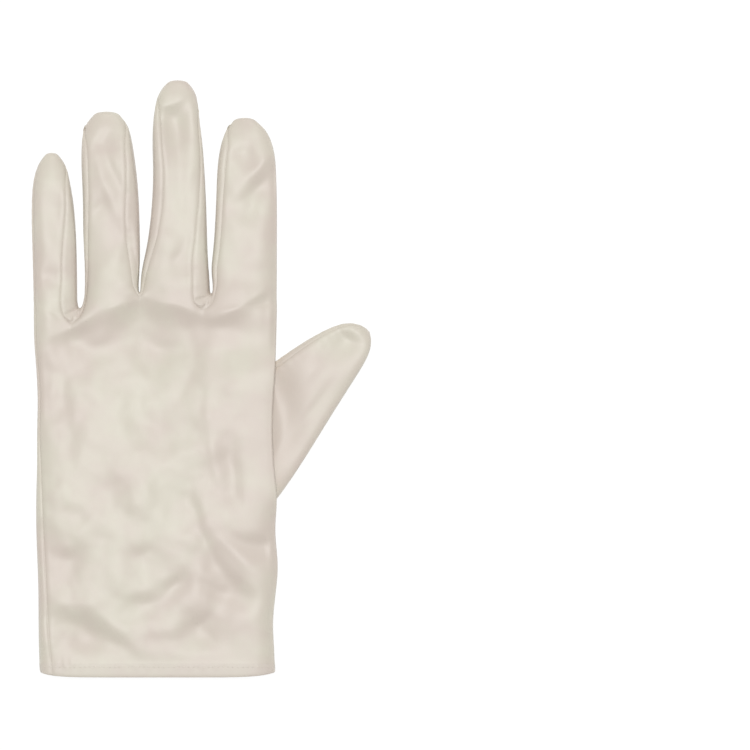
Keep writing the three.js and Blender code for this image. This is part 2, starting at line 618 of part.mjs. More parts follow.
// The thumb has an oval section between each pair of outline points. A margin draws it in for its hollow, or
// out for the hole that it passes through.
const thumbEnd = handAt(thumbStart + thumbRoot);
const thumbLevel = edgeLevel * thumbHeight;
function thumbPoint(x, y) {
  const side = thumbEnd.centre + thumbEnd.half;
  return new Vector3(side + x * thumbReach, thumbStart + y * thumbRoot, thumbLevel);
}

function thumbRing(section, margin) {
  const upper = thumbPoint(section.upperX, section.upperY);
  const lower = thumbPoint(section.lowerX, section.lowerY);
  const middle = upper.clone().lerp(lower, 0.5);
  const reach = upper.clone().sub(middle);
  reach.setLength(reach.length() - margin);
  const above = (thumbHeight - thumbLevel) * section.height - margin;
  const below = thumbLevel * section.height ** 0.7 - margin;
  return Array.from({ length: thumbSides }, (_, n) => {
    const turn = (2 * Math.PI * (n + 0.5)) / thumbSides;
    const [across, up] = [Math.cos(turn), Math.sin(turn)];
    const out = Math.sign(across) * Math.abs(across) ** thumbBend.across;
    const rise = up > 0 ? above * up ** thumbBend.above : -below * (-up) ** thumbBend.below;
    return middle.clone().addScaledVector(reach, out).setZ(thumbLevel + rise);
  });
}

function thumbSolid(margin, baseMargin) {
  const rings = thumbSections.map((section) => thumbRing(section, margin));
  rings[0].forEach((point) => (point.x -= baseMargin));
  const tip = thumbPoint(thumbTip.x, thumbTip.y);
  const inwards = centreOf(rings.at(-1)).sub(tip).setLength(margin / 2);
  rings.push(rings.at(-1).map((point) => tip.clone().lerp(point, thumbTip.blunt).add(inwards)));
  return toSolid(ringGeometry(rings));
}

// The hollow of the hand, closed at the wrist. It opens the thumb's base.
function handHollow() {
  const inner = points.map(belowCloth);
  const wrist = loopOf(rows[0]);
  const plug = inner.push(centreOf(wrist.map((number) => inner[number]))) - 1;
  const cap = wrist.map((number, n) => [wrist[(n + 1) % wrist.length], number, plug]);
  return toSolid(closedGeometry(inner, [...faces.flatMap((face) => triangles(face.corners)), ...cap]));
}

const thumbHole = thumbSolid(-seamGap, seamGap);
const handSolid = toSolid(sewnPiece(handPiece)).subtract(thumbHole);
const thumbHollow = thumbSolid(cloth, 2 * cloth);
const thumb = thumbSolid(0, 0).subtract(thumbHollow).subtract(handHollow());

const glove = new THREE.Group();
function addPiece(name, geometry, material) {
  const mesh = new THREE.Mesh(geometry, material);
  mesh.name = name;
  glove.add(mesh);
}
addPiece(handPiece, fromSolid(handSolid), satin);
partings.forEach(({ strip }) => addPiece(strip, sewnPiece(strip), satin));
addPiece("thumb", fromSolid(thumb), satin);
addPiece("wrist_hem", fromSolid(hemSolid()), hemSatin);

// The origin is under the middle of the glove's box, on the surface that it lies on.
const box = new THREE.Box3().setFromObject(glove);
const middle = box.getCenter(new Vector3());
glove.position.set(-middle.x, -middle.y, -box.min.z);

export default glove;
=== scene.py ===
# %% [markdown]
# # A short satin dress glove
#
# This lesson sews a thin dress glove for the left hand out of points, lays it down flat with its back up,
# and gives it the soft shine of stretch satin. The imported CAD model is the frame: it says where pieces lie.
# The pieces are worked out here in millimetres, as a cutter would measure them, and turned into metres when
# their meshes are made.

# %% Load the frame
import math

import bmesh
import bpy
import numpy as np
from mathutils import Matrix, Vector, noise
from mathutils.bvhtree import BVHTree
from mathutils.kdtree import KDTree


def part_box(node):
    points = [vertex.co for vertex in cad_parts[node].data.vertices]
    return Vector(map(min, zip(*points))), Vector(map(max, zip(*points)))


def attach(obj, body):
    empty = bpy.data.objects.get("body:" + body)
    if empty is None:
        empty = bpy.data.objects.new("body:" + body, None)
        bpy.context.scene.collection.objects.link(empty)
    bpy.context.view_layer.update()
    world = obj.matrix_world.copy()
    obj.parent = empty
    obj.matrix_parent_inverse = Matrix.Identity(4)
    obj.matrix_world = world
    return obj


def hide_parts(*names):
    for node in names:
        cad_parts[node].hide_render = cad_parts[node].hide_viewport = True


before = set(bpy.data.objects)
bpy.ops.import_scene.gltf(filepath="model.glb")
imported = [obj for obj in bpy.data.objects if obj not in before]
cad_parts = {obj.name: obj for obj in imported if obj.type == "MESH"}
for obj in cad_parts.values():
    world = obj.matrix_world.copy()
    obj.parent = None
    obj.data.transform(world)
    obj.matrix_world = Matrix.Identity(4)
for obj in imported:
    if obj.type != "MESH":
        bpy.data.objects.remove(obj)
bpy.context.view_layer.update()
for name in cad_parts:
    low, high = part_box(name)
    print(name, [round(1000 * (b - a), 1) for a, b in zip(low, high)], "mm")

# %% [markdown]
# ## The camera
#
# The picture is taken from straight above. From far away and with a long lens the glove shows no
# perspective, as in a catalogue. An orthographic camera would do too, but a long lens keeps a trace of real
# depth. The view is 289 mm wide, and its middle lies to the right of the glove.

# %% Camera
VIEW_WIDTH = 0.28875
VIEW_MIDDLE = (0.0667, 0.00135)
CAMERA_HEIGHT = 3.0
HALF_GLOVE_HEIGHT = 0.006
SENSOR = 36

camera = bpy.data.objects.new("camera", bpy.data.cameras.new("camera"))
bpy.context.scene.collection.objects.link(camera)
camera.data.sensor_width = SENSOR
camera.data.lens = SENSOR * CAMERA_HEIGHT / VIEW_WIDTH
camera.data.clip_end = 20
camera.location = (*VIEW_MIDDLE, CAMERA_HEIGHT + HALF_GLOVE_HEIGHT)
bpy.context.scene.camera = camera
print("lens", round(camera.data.lens, 1), "mm")

# %% [markdown]
# ## Floor and light
#
# The glove lies on a plain white light table, which a catalogue photographer uses to be rid of shadows: its
# top glows a little itself. A white world gives a soft light from all around. A large lamp nearly overhead
# makes satin shine where it lies flat, and so its folds are darker. A low one beyond the fingertips, a
# little to the right, models them a little more.

# %% Floor
FLOOR_COLOUR = (0.15, 0.15, 0.15, 1)
FLOOR_GLOW = 0.9
FLOOR_DROP = 0.0002


def deselect_all():
    bpy.ops.object.select_all(action="DESELECT")


deselect_all()
bpy.ops.mesh.primitive_grid_add(x_subdivisions=8, y_subdivisions=8, size=6, location=(0, 0, -FLOOR_DROP))
floor = bpy.context.object
floor.name = "floor"
floor_paint = bpy.data.materials.new("floor_paint")
floor_paint.use_nodes = True
floor_shader = floor_paint.node_tree.nodes["Principled BSDF"]
floor_shader.inputs["Base Color"].default_value = FLOOR_COLOUR
floor_shader.inputs["Roughness"].default_value = 0.9
floor_shader.inputs["Specular IOR Level"].default_value = 0.0
floor_shader.inputs["Emission Color"].default_value = (1, 1, 1, 1)
floor_shader.inputs["Emission Strength"].default_value = FLOOR_GLOW
floor.data.materials.append(floor_paint)
print("floor", round(floor.dimensions.x, 1), "m wide")

# %% World and lamps
WORLD_LIGHT = 0.48
world = bpy.data.worlds.new("studio")
bpy.context.scene.world = world
world.use_nodes = True
world.node_tree.nodes["Background"].inputs["Color"].default_value = (1.0, 1.0, 1.0, 1)
world.node_tree.nodes["Background"].inputs["Strength"].default_value = WORLD_LIGHT
bpy.context.scene.view_settings.view_transform = "Standard"


def softbox(name, place, size, power):
    lamp = bpy.data.objects.new(name, bpy.data.lights.new(name, "AREA"))
    bpy.context.scene.collection.objects.link(lamp)
    lamp.data.shape = "DISK"
    lamp.data.size = size
    lamp.data.energy = power
    lamp.location = place
    lamp.rotation_mode = "QUATERNION"
    lamp.rotation_quaternion = (-Vector(place)).to_track_quat("-Z", "Y")
    return lamp


softbox("overhead", (0.0, 0.15, 2.4), 0.6, 25)
softbox("low", (0.2, 2.4, 2.0), 1.0, 14)
print("2 softboxes, world", WORLD_LIGHT)

# %% [markdown]
# ## The cutter's measures
#
# A maker starts from the hand: how long it is, how wide, and how wide and long each finger. Everything else
# here is a share of these measures, so that one number can change the glove. It could also be drawn over a
# picture by hand, but then nothing would say what belongs together.

# %% Measures in millimetres
MM = 0.001
HEM_DEPTH = 4.6
HAND_LENGTH = 142.0
WRIST_WIDTH = 90.5
HAND_HEIGHT = 13.0
KNUCKLE_HEIGHT = 11.4
FINGER_HEIGHT = 9.6
EDGE_LEVEL = 0.42
HAND_EDGE = 0.355
HAND_SIDE = 0.02
HAND_FLAT = 0.72
BACK_BOXINESS = 18
SIDE_BOXINESS = (3.6, 0.28)
FINGER_BOXINESS = (5, 6)
THUMB_START = 67.0
THUMB_ROOT = 55.0
THUMB_REACH = 37.0
THUMB_HEIGHT = 8.0
CLOTH = 0.4
PASSAGE_HEIGHT = THUMB_HEIGHT + 0.6
print("hand", HAND_LENGTH, "mm long,", WRIST_WIDTH, "mm wide at the wrist")

# %% [markdown]
# ## Sections of the hand
#
# Each row is one section across the hand, from the wrist edge to the knuckles: its width, how far it is
# shifted, how high the cloth lies and where the closing seam runs.

# %% Sections of the hand
# along, width, shift, height, and how far the closing seam lies inside the left edge, in wrist widths
HAND_SECTIONS = [
    (0.0, 1.0, 0.0, 0.84, 0.058),
    (0.07, 1.0, -0.004, 0.86, 0.052),
    (0.15, 0.993, -0.008, 0.88, 0.044),
    (0.23, 1.003, -0.002, 0.9, 0.038),
    (0.3, 1.013, 0.001, 0.915, 0.036),
    (0.4, 1.003, -0.008, 0.915, 0.033),
    (0.48, 1.009, -0.004, 0.9, 0.029),
    (0.58, 0.987, -0.009, 0.87, 0.017),
    (0.67, 0.978, -0.012, 0.835, 0.011),
    (0.75, 0.976, -0.009, 0.805, 0.01),
    (0.83, 0.987, -0.007, 0.785, 0.009),
    (0.91, 0.998, -0.01, 0.79, 0.009),
    (1.0, 1.0, -0.009, KNUCKLE_HEIGHT / HAND_HEIGHT, 0.009),
]
HAND_COLUMNS = ("along", "width", "shift", "height", "inset")
print(len(HAND_SECTIONS), "sections of the hand")

# %% [markdown]
# ## Sections of the fingers
#
# Each finger has a length, a width and a root, which is the length of knuckle line that it takes, in finger
# widths. Its ends say how far up the fourchettes run on both sides. Left and right are how far in the
# fourchettes' seams lie, in finger widths too. The little finger comes first, and the outer side of the
# index finger is a fold without a seam.

# %% Sections of the fingers
FINGER_COLUMNS = ("along", "shift", "width", "height", "left", "right")
FINGERS = [
    {
        "length": 60.0, "width": 17.0, "root": 1.045, "ends": (0.93, 0.93),
        "sections": [
            (0.05, -0.03, 0.99, 1.1, 0.04, 0.39),
            (0.16, -0.035, 0.995, 1.02, 0.04, 0.38),
            (0.3, -0.045, 1.0, 1.0, 0.04, 0.35),
            (0.45, -0.06, 1.0, 1.0, 0.04, 0.3),
            (0.58, -0.08, 0.98, 1.0, 0.04, 0.24),
            (0.7, -0.1, 0.93, 0.98, 0.04, 0.18),
            (0.8, -0.12, 0.84, 0.93, 0.04, 0.11),
            (0.88, -0.12, 0.71, 0.84, 0.04, 0.06),
            (0.94, -0.12, 0.54, 0.7, 0.04, 0.04),
            (0.983, -0.12, 0.3, 0.46, 0.03, 0.03),
        ],
    },
    {
        "length": 75.9, "width": 21.6, "root": 1.063, "ends": (0.94, 0.97),
        "sections": [
            (0.04, 0.03, 0.965, 1.18, 0.02, 0.09),
            (0.13, 0.045, 0.97, 1.09, 0.04, 0.14),
            (0.25, 0.045, 0.995, 1.0, 0.06, 0.2),
            (0.4, 0.03, 1.015, 1.0, 0.09, 0.27),
            (0.55, 0.02, 1.0, 1.0, 0.11, 0.24),
            (0.68, -0.01, 0.985, 0.99, 0.12, 0.19),
            (0.79, -0.04, 0.94, 0.95, 0.12, 0.16),
            (0.87, -0.055, 0.87, 0.87, 0.09, 0.12),
            (0.93, -0.06, 0.745, 0.75, 0.05, 0.08),
            (0.983, -0.06, 0.45, 0.48, 0.03, 0.04),
        ],
    },
    {
        "length": 88.0, "width": 22.3, "root": 1.233, "ends": (0.95, 0.9),
        "sections": [
            (0.04, 0.0, 1.2, 1.2, 0.06, 0.3),
            (0.12, 0.0, 1.16, 1.1, 0.1, 0.31),
            (0.22, 0.025, 1.07, 1.0, 0.13, 0.26),
            (0.34, 0.05, 1.0, 1.0, 0.17, 0.2),
            (0.47, 0.065, 0.935, 1.0, 0.2, 0.12),
            (0.6, 0.06, 0.89, 0.99, 0.2, 0.06),
            (0.72, 0.035, 0.87, 0.97, 0.18, 0.04),
            (0.82, 0.015, 0.8, 0.92, 0.15, 0.035),
            (0.9, 0.025, 0.72, 0.82, 0.09, 0.03),
            (0.95, 0.035, 0.6, 0.68, 0.05, 0.03),
            (0.987, 0.04, 0.36, 0.45, 0.03, 0.03),
        ],
    },
    {
        "length": 73.5, "width": 23.9, "root": 1.065, "ends": (0.97, 2.0),
        "sections": [
            (0.05, 0.01, 1.03, 1.16, 0.07, 0.04),
            (0.15, 0.0, 1.06, 1.07, 0.085, 0.04),
            (0.28, 0.015, 1.03, 1.0, 0.1, 0.04),
            (0.42, 0.03, 1.005, 1.0, 0.105, 0.04),
            (0.57, 0.04, 0.98, 1.0, 0.11, 0.04),
            (0.7, 0.04, 0.955, 0.98, 0.13, 0.04),
            (0.8, 0.045, 0.91, 0.93, 0.14, 0.04),
            (0.88, 0.04, 0.79, 0.84, 0.14, 0.04),
            (0.94, 0.03, 0.61, 0.7, 0.1, 0.03),
            (0.983, 0.01, 0.35, 0.46, 0.04, 0.03),
        ],
    },
]

print(len(FINGERS), "fingers")

# %% [markdown]
# ## Where two fingers part
#
# At the bottom between two fingers the fourchette makes a small U. Its seam has a lowest point and two
# shoulders, and under them the strip itself is lowest at the gap.

# %% Partings
# x in widths of both fingers, y in knuckle heights, level in finger heights
PARTINGS = [
    {
        "strip": "fourchette_little_ring", "seam": (-0.1, -0.54, 1.03),
        "left": (-0.19, -0.24, 1.03), "right": (0.012, -0.34, 0.98), "gap": (0.0, 0.02), "spread": 0.016,
    },
    {
        "strip": "fourchette_ring_middle", "seam": (0.005, 0.36, 1.03),
        "left": (-0.02, 0.56, 0.98), "right": (0.03, 0.6, 0.98), "gap": (0.0, 0.52), "spread": 0.008,
    },
    {
        "strip": "fourchette_middle_index", "seam": (-0.075, -0.08, 1.03),
        "left": (-0.16, 0.14, 1.03), "right": (0.012, 0.08, 0.98), "gap": (0.004, 0.52), "spread": 0.012,
    },
]
print(len(PARTINGS), "partings")


# %% [markdown]
# ## Reading the tables
#
# Between two rows of a table the cloth follows a smooth curve, as a cutter draws one with a French curve.
# Straight lines would show as corners in the outline. The curve goes through every row and takes its slope
# from the rows before and after.

# %% Table reader
def mix(a, b, t):
    return a + (b - a) * t


def smooth_step(x, start, end):
    t = np.clip((x - start) / (end - start), 0, 1)
    return t * t * (3 - 2 * t)


def read_table(rows, columns, place):
    """One section, worked out between the rows of a table."""
    spots = [row[0] for row in rows]
    if place <= spots[0] or place >= spots[-1]:
        row = rows[0] if place <= spots[0] else rows[-1]
        return dict(zip(columns, row))
    high = next(i for i, spot in enumerate(spots) if spot >= place)
    a, b = rows[high - 1], rows[high]
    before, after = rows[max(high - 2, 0)], rows[min(high + 1, len(rows) - 1)]
    step = b[0] - a[0]
    t = (place - a[0]) / step
    eased = t * t * (3 - 2 * t)
    section = {}
    for c, column in enumerate(columns):
        start = (b[c] - before[c]) / (b[0] - before[0]) * step
        end = (after[c] - a[c]) / (after[0] - a[0]) * step
        section[column] = mix(a[c], b[c], eased) + t * (1 - t) * ((1 - t) * start - t * end)
    return section


print("at half the hand the width is", round(read_table(HAND_SECTIONS, HAND_COLUMNS, 0.5)["width"], 3))

# %% Outline of the hand
ROOTS = [finger["root"] * finger["width"] for finger in FINGERS]
KNUCKLE_WIDTH = sum(ROOTS)
KNUCKLE_CENTRE = HAND_SECTIONS[-1][2] * WRIST_WIDTH


def root_start(i):
    return KNUCKLE_CENTRE - KNUCKLE_WIDTH / 2 + sum(ROOTS[:i])


def hand_at(y):
    along = y / HAND_LENGTH
    section = read_table(HAND_SECTIONS, HAND_COLUMNS, along)
    width = mix(WRIST_WIDTH, KNUCKLE_WIDTH, min(max(along, 0), 1))
    half = section["width"] * width / 2
    centre = section["shift"] * WRIST_WIDTH
    return half, centre, section["height"] * HAND_HEIGHT, section["inset"] * WRIST_WIDTH


print("wrist", WRIST_WIDTH, "mm, knuckles", round(KNUCKLE_WIDTH, 1), "mm")


# %% [markdown]
# ## Heights
#
# The empty glove lies nearly flat. Its back is a low, flat dome with rounded sides, and its palm rests on the
# floor. Only over the thumb, which lies folded under the index side, does the palm rise. The heights could
# come from a simulation of falling cloth, but a formula lets the back meet the seams just where they are.

# %% Heights of back and palm
def arch(across, boxiness):
    return math.sqrt(max(0.0, 1 - min(abs(across), 1) ** boxiness))


def lift_at(x, y):
    half, centre, _, _ = hand_at(y)
    up = (y - THUMB_START) / THUMB_ROOT
    inwards = (centre + half - x) / THUMB_REACH
    rising = smooth_step(up, -0.19, 0.07)
    falling = 1 - smooth_step(up, 0.96, 1.2)
    sloping = 1 - smooth_step(inwards, 0.17, 0.92)
    return PASSAGE_HEIGHT * rising * falling * sloping


def parting_point(k, x, y, level):
    pair = FINGERS[k]["width"] + FINGERS[k + 1]["width"]
    return Vector((root_start(k + 1) + x * pair, HAND_LENGTH + y * KNUCKLE_HEIGHT, level * FINGER_HEIGHT))


SEAM_POINTS = [parting_point(k, *parting["seam"]) for k, parting in enumerate(PARTINGS)]


def dent_at(x, y):
    total = 0
    for seam in SEAM_POINTS:
        sideways = (x - seam.x) / (0.065 * WRIST_WIDTH)
        lengthwise = (y - seam.y) / (0.055 * HAND_LENGTH)
        total += (KNUCKLE_HEIGHT - seam.z) * math.exp(-sideways**2 - lengthwise**2)
    return total


def back_height(x, y):
    half, centre, top, _ = hand_at(y)
    across = (x - centre) / half
    raised = lift_at(centre + half, y) + 2 if across > 0 else 0
    edge = max(HAND_EDGE * HAND_HEIGHT, raised)
    crown = mix(top, max(top, edge + 1), float(smooth_step(across, 0, 0.9)))
    return mix(edge, crown, arch(across, BACK_BOXINESS)) - dent_at(x, y)


def palm_height(x, y):
    half, centre, _, _ = hand_at(y)
    beyond = min(max((abs(x - centre) / half - HAND_FLAT) / (1 - HAND_FLAT), 0), 1)
    return max(HAND_EDGE * HAND_HEIGHT * (1 - arch(beyond, 4)), lift_at(x, y))


print("palm above the thumb", round(float(palm_height(44, 95)), 1), "mm")

# %% [markdown]
# ## The net
#
# All of the cloth but the thumb is drawn as one net of points, in rows round the hand that fork into four
# fingers. The columns follow the seams, with a close pair on both sides of each, so that a seam can be a
# narrow groove after the net is smoothed. Each face of the net knows which piece of cloth it belongs to.
# One could also extrude four fingers out of a box, but then the seams would lie where the box's edges fall.

# %% Net of points
PIECES = ["hand_piece", *(parting["strip"] for parting in PARTINGS), "wrist_hem"]
HAND_PIECE, WRIST_HEM = 0, 4
BACK_SHARES = (0, 0.05, 0.17, 0.38, 0.62, 0.83, 0.95)
PALM_SHARES = (0, 0.09, 0.5, 0.91)
SIDE_SHARES = (0.1, 0.26, 0.4, 0.5, 0.6, 0.74, 0.9)
HAND_ROWS = 28
net_points, net_faces = [], []


def add_points(points):
    net_points.extend(Vector(p) for p in points)
    return list(range(len(net_points) - len(points), len(net_points)))


def side_points(back, widest, palm):
    """The points round one side, from the back over the widest place to the palm."""
    outer, inner = SIDE_BOXINESS
    points = []
    for share in SIDE_SHARES:
        turn = math.pi * share
        start = back if share < 0.5 else palm
        point = start.lerp(widest, math.sin(turn))
        point.z = widest.z + (start.z - widest.z) * (1 - math.sin(turn) ** outer) ** inner
        points.append(point)
    return points


def row_of(back, palm, leftmost, rightmost):
    return {
        "back": back, "palm": palm,
        "left": side_points(back[0], leftmost, palm[0]),
        "right": side_points(back[-1], rightmost, palm[-1]),
    }


def loop_of(row):
    return [*row["back"], *row["right"], *row["palm"][::-1], *row["left"][::-1]]


def add_row(row):
    return {side: add_points(points) for side, points in row.items()}


print(len(SIDE_SHARES), "points round each side")


# %% Faces between two rows
def join_rows(low, high, piece=HAND_PIECE, left_piece=None, right_piece=None):
    def join(a, b, owner):
        for i in range(len(a) - 1):
            net_faces.append(([a[i], a[i + 1], b[i + 1], b[i]], piece if owner is None else owner))

    left = [[row["back"][0], *row["left"], row["palm"][0]] for row in (low, high)]
    right = [[row["back"][-1], *row["right"], row["palm"][-1]] for row in (low, high)]
    join(low["back"], high["back"], None)
    join(right[0], right[1], right_piece)
    join(high["palm"], low["palm"], None)
    join(left[1], left[0], left_piece)


print(len(PIECES), "pieces in the net")


# %% Rows across the hand
def spread(stops, shares):
    """Points between stops, with the last stop at the end."""
    points = [a.lerp(b, share) for a, b in zip(stops, stops[1:]) for share in shares]
    return [*points, stops[-1].copy()]


def hand_row(share, start):
    """A row across the hand. It takes more and more of the shape of the line through the partings' seams."""
    ends = [mix(start, HAND_LENGTH, share)] * 2
    stops = []
    for point in SEAM_POINTS:
        y = mix(start, point.y, share)
        half, centre, _, _ = hand_at(y)
        stops.append(Vector((centre + (point.x - KNUCKLE_CENTRE) / (KNUCKLE_WIDTH / 2) * half, y, 0)))
    half, centre, _, inset = hand_at(ends[0])
    right = Vector((centre + half * (1 - HAND_SIDE), ends[1], 0))
    back = spread([Vector((centre - half + inset, ends[0], 0)), *stops, right], BACK_SHARES)
    palm = spread([Vector((centre - half * (1 - HAND_SIDE), ends[0], 0)), *stops, right], PALM_SHARES)
    for point in back:
        point.z = back_height(point.x, point.y)
    for point in palm:
        point.z = palm_height(point.x, point.y)
    level = HAND_EDGE * HAND_HEIGHT
    raised = max(level, (back[-1].z + palm[-1].z) / 2)
    y = ends[0]
    return row_of(back, palm, Vector((centre - half, y, level)), Vector((centre + half, y, raised)))


hand_rows = [add_row(hand_row(r / HAND_ROWS, HEM_DEPTH)) for r in range(HAND_ROWS + 1)]
for low_row, high_row in zip(hand_rows, hand_rows[1:]):
    join_rows(low_row, high_row)
closing_seam = [row["back"][0] for row in hand_rows]
print(len(net_points), "points in the hand")

# %% [markdown]
# ## The fingers
#
# A finger's back and palm belong to the hand piece, and its sides to the forked strips. Towards the tip a
# strip runs out to a point, and from there the back and the palm are sewn to each other. The rows of a
# finger stand on the hand's last row, so hand and fingers are one cloth, as on the real glove, and no joint
# between them has to be hidden.

# %% The low points between the fingers
knuckles = hand_rows[-1]
columns = []
for k, parting in enumerate(PARTINGS):
    bottom = parting_point(k, *parting["gap"], EDGE_LEVEL)
    back_point = net_points[knuckles["back"][(k + 1) * len(BACK_SHARES)]]
    palm_point = net_points[knuckles["palm"][(k + 1) * len(PALM_SHARES)]]
    columns.append(add_points(side_points(back_point, bottom, palm_point)))
LEVEL = EDGE_LEVEL * FINGER_HEIGHT
print("fingers are widest", round(LEVEL, 1), "mm up")


# %% Rows of a finger
def gap_rise(k):
    return PARTINGS[k]["gap"][1] * KNUCKLE_HEIGHT if 0 <= k < len(PARTINGS) else 0


def finger_row(i, along):
    finger = FINGERS[i]
    section = read_table(finger["sections"], FINGER_COLUMNS, along)
    length, width = finger["length"], finger["width"]
    slant = 1 - float(smooth_step(along, 0, 0.4))
    centre = root_start(i) + ROOTS[i] / 2 + section["shift"] * width
    beyond = max(0.0, (along - finger["sections"][-1][0]) / (1 - finger["sections"][-1][0]))
    tip = math.sqrt(max(0.0, 1 - beyond**2))
    half = section["width"] * width / 2 * tip
    crown = LEVEL + (FINGER_HEIGHT - LEVEL) * section["height"] * tip
    sole = LEVEL * (1 - min(1, section["height"] * tip) ** 0.7)

    def place(u, z):
        rise = slant * mix(gap_rise(i - 1), gap_rise(i), (u + 1) / 2)
        return Vector((centre + u * half, HAND_LENGTH + along * length + rise, z))

    left, right = (1 - float(smooth_step(along, end - 0.14, end)) for end in finger["ends"])
    start = max(2 * section["left"] / section["width"] * left, 0.004) - 1
    end = 1 - max(2 * section["right"] / section["width"] * right, 0.004)
    back_shares = (0, mix(0.015, 0.07, left), mix(0.09, 0.23, left), 0.41, 0.59,
                   1 - mix(0.09, 0.23, right), 1 - mix(0.015, 0.07, right), 1)
    palm_shares = (0, mix(0.02, 0.09, left), 0.5, 1 - mix(0.02, 0.09, right), 1)

    def cross_line(shares, middle, boxiness):
        return [place(u, mix(LEVEL, middle, arch(u, boxiness))) for u in (mix(start, end, s) for s in shares)]

    back = cross_line(back_shares, crown, FINGER_BOXINESS[0])
    palm = cross_line(palm_shares, sole, FINGER_BOXINESS[1])
    return row_of(back, palm, place(-1, LEVEL), place(1, LEVEL))


halfway = finger_row(2, 0.5)
print("middle finger halfway", round(halfway["right"][3].x - halfway["left"][3].x, 1), "mm")


# %% Foot of a finger
def foot_row(i):
    """The first row of a finger stands on the shoulders of the seams' U on both sides."""
    first_along = FINGERS[i]["sections"][0][0]
    first = finger_row(i, first_along)

    def foot_of(end, side, k, shoulder):
        if not 0 <= k < len(PARTINGS):
            half, centre, _, _ = hand_at(HAND_LENGTH)
            y = HAND_LENGTH + 0.4 * first_along * FINGERS[i]["length"]
            back, palm = first["back"][end].copy(), first["palm"][end].copy()
            back.y = palm.y = y
            return back, palm, Vector((centre + side * half, y, LEVEL))
        back = parting_point(k, *PARTINGS[k][shoulder])
        palm = Vector((back.x, back.y, first["palm"][end].z))
        widest = parting_point(k, *PARTINGS[k]["gap"], EDGE_LEVEL)
        widest.x -= side * PARTINGS[k]["spread"] * (FINGERS[k]["width"] + FINGERS[k + 1]["width"])
        widest.y = max(widest.y, back.y) + 0.2
        return back, palm, widest

    left, right = foot_of(0, -1, i - 1, "right"), foot_of(-1, 1, i, "left")

    def fit(line, start, end):
        fitted = []
        for point in line:
            share = (point.x - line[0].x) / (line[-1].x - line[0].x)
            place = start.lerp(end, share)
            change = mix(start.z - line[0].z, end.z - line[-1].z, share)
            place.z = point.z + change * abs(2 * share - 1) ** 3
            fitted.append(place)
        return fitted

    back, palm = fit(first["back"], left[0], right[0]), fit(first["palm"], left[1], right[1])
    return row_of(back, palm, left[2], right[2])


index_foot = foot_row(3)["right"][3]
print("the index finger's foot is", round(index_foot.y - HAND_LENGTH, 1), "mm above the knuckles")

# %% Join the fingers on
FINGER_PLACES = (
    0.1, 0.17, 0.25, 0.34, 0.43, 0.52, 0.61, 0.69, 0.76, 0.82, 0.87, 0.91, 0.945, 0.97, 0.985, 0.995,
)
for i, finger in enumerate(FINGERS):
    low_row = {
        "back": knuckles["back"][i * len(BACK_SHARES):(i + 1) * len(BACK_SHARES) + 1],
        "palm": knuckles["palm"][i * len(PALM_SHARES):(i + 1) * len(PALM_SHARES) + 1],
        "left": columns[i - 1] if i > 0 else knuckles["left"],
        "right": columns[i] if i < len(columns) else knuckles["right"],
    }
    first = finger["sections"][0][0]
    places = [0, first, *(p for p in FINGER_PLACES if p > first + 0.03)]
    rows = [foot_row(i), *(finger_row(i, place) for place in places[1:])]
    for n, (row, place) in enumerate(zip(rows, places)):
        high_row = add_row(row)
        start = places[max(n - 1, 0)]
        left = i if i > 0 and start < finger["ends"][0] - 0.001 else None
        right = i + 1 if i < len(columns) and start < finger["ends"][1] - 0.001 else None
        join_rows(low_row, high_row, HAND_PIECE, left, right)
        low_row = high_row
        if i == 0:
            closing_seam.append(high_row["back"][0])
    tip_x = root_start(i) + ROOTS[i] / 2 + finger["sections"][-1][1] * finger["width"]
    tip = add_points([(tip_x, HAND_LENGTH + finger["length"], LEVEL)])[0]
    loop = loop_of(low_row)
    for a, b in zip(loop, [*loop[1:], loop[0]]):
        net_faces.append(([a, b, tip], HAND_PIECE))
print(len(net_faces), "faces with the fingers")

# %% [markdown]
# ## The hem
#
# The wrist edge is folded in and stitched down. So the net goes on outside to the edge, turns round it in a
# tight bend and runs back inside, a little past the line of stitches. Its corners are drawn back and round.
# A separate band would be simpler, but then the edge would look glued on and not folded.

# %% Hem of the net
HEM_LAYERS = 0.8


def hem_row(y, inwards):
    row = hand_row(0, y)
    half, centre, _, _ = hand_at(0)
    loop = loop_of(row)
    moved = []
    for n, point in enumerate(loop):
        before, after = loop[n - 1], loop[(n + 1) % len(loop)]
        inside = Vector((after.z - before.z, 0, before.x - after.x)).normalized()
        place = point + inside * inwards
        corner = (abs(point.x - centre) / half) ** 8
        place.y += 0.4 * HEM_DEPTH * max(0, 1 - y / HEM_DEPTH) * corner
        moved.append(place)
    counts = [len(row["back"]), len(row["right"]), len(row["palm"]), len(row["left"])]
    cuts = np.cumsum([0, *counts])
    parts = [moved[a:b] for a, b in zip(cuts, cuts[1:])]
    return {"back": parts[0], "right": parts[1], "palm": parts[2][::-1], "left": parts[3][::-1]}


HEM_STEPS = [
    (5.6, HEM_LAYERS + 0.1), (3.4, HEM_LAYERS), (1.6, HEM_LAYERS), (0.5, 0.85 * HEM_LAYERS),
    (0.02, 0.5 * HEM_LAYERS), (0.45, 0.06), (1.5, 0.0), (3.0, 0.0), (4.0, 0.0),
]
hem_rows = [add_row(hem_row(y, inwards)) for y, inwards in HEM_STEPS] + [hand_rows[0]]
for low_row, high_row in zip(hem_rows, hem_rows[1:]):
    join_rows(low_row, high_row, WRIST_HEM)
closing_seam = [*(row["back"][0] for row in hem_rows[4:-1]), *closing_seam]
print(len(net_faces), "faces with the hem")

# %% [markdown]
# ## Smoothing the net
#
# Subdivision turns the coarse net into cloth with faces of about a millimetre. The faces keep their piece
# as a material number, and the seams keep a mark on their edges. So the net stays small enough to read, and
# all of the fine points come from it.

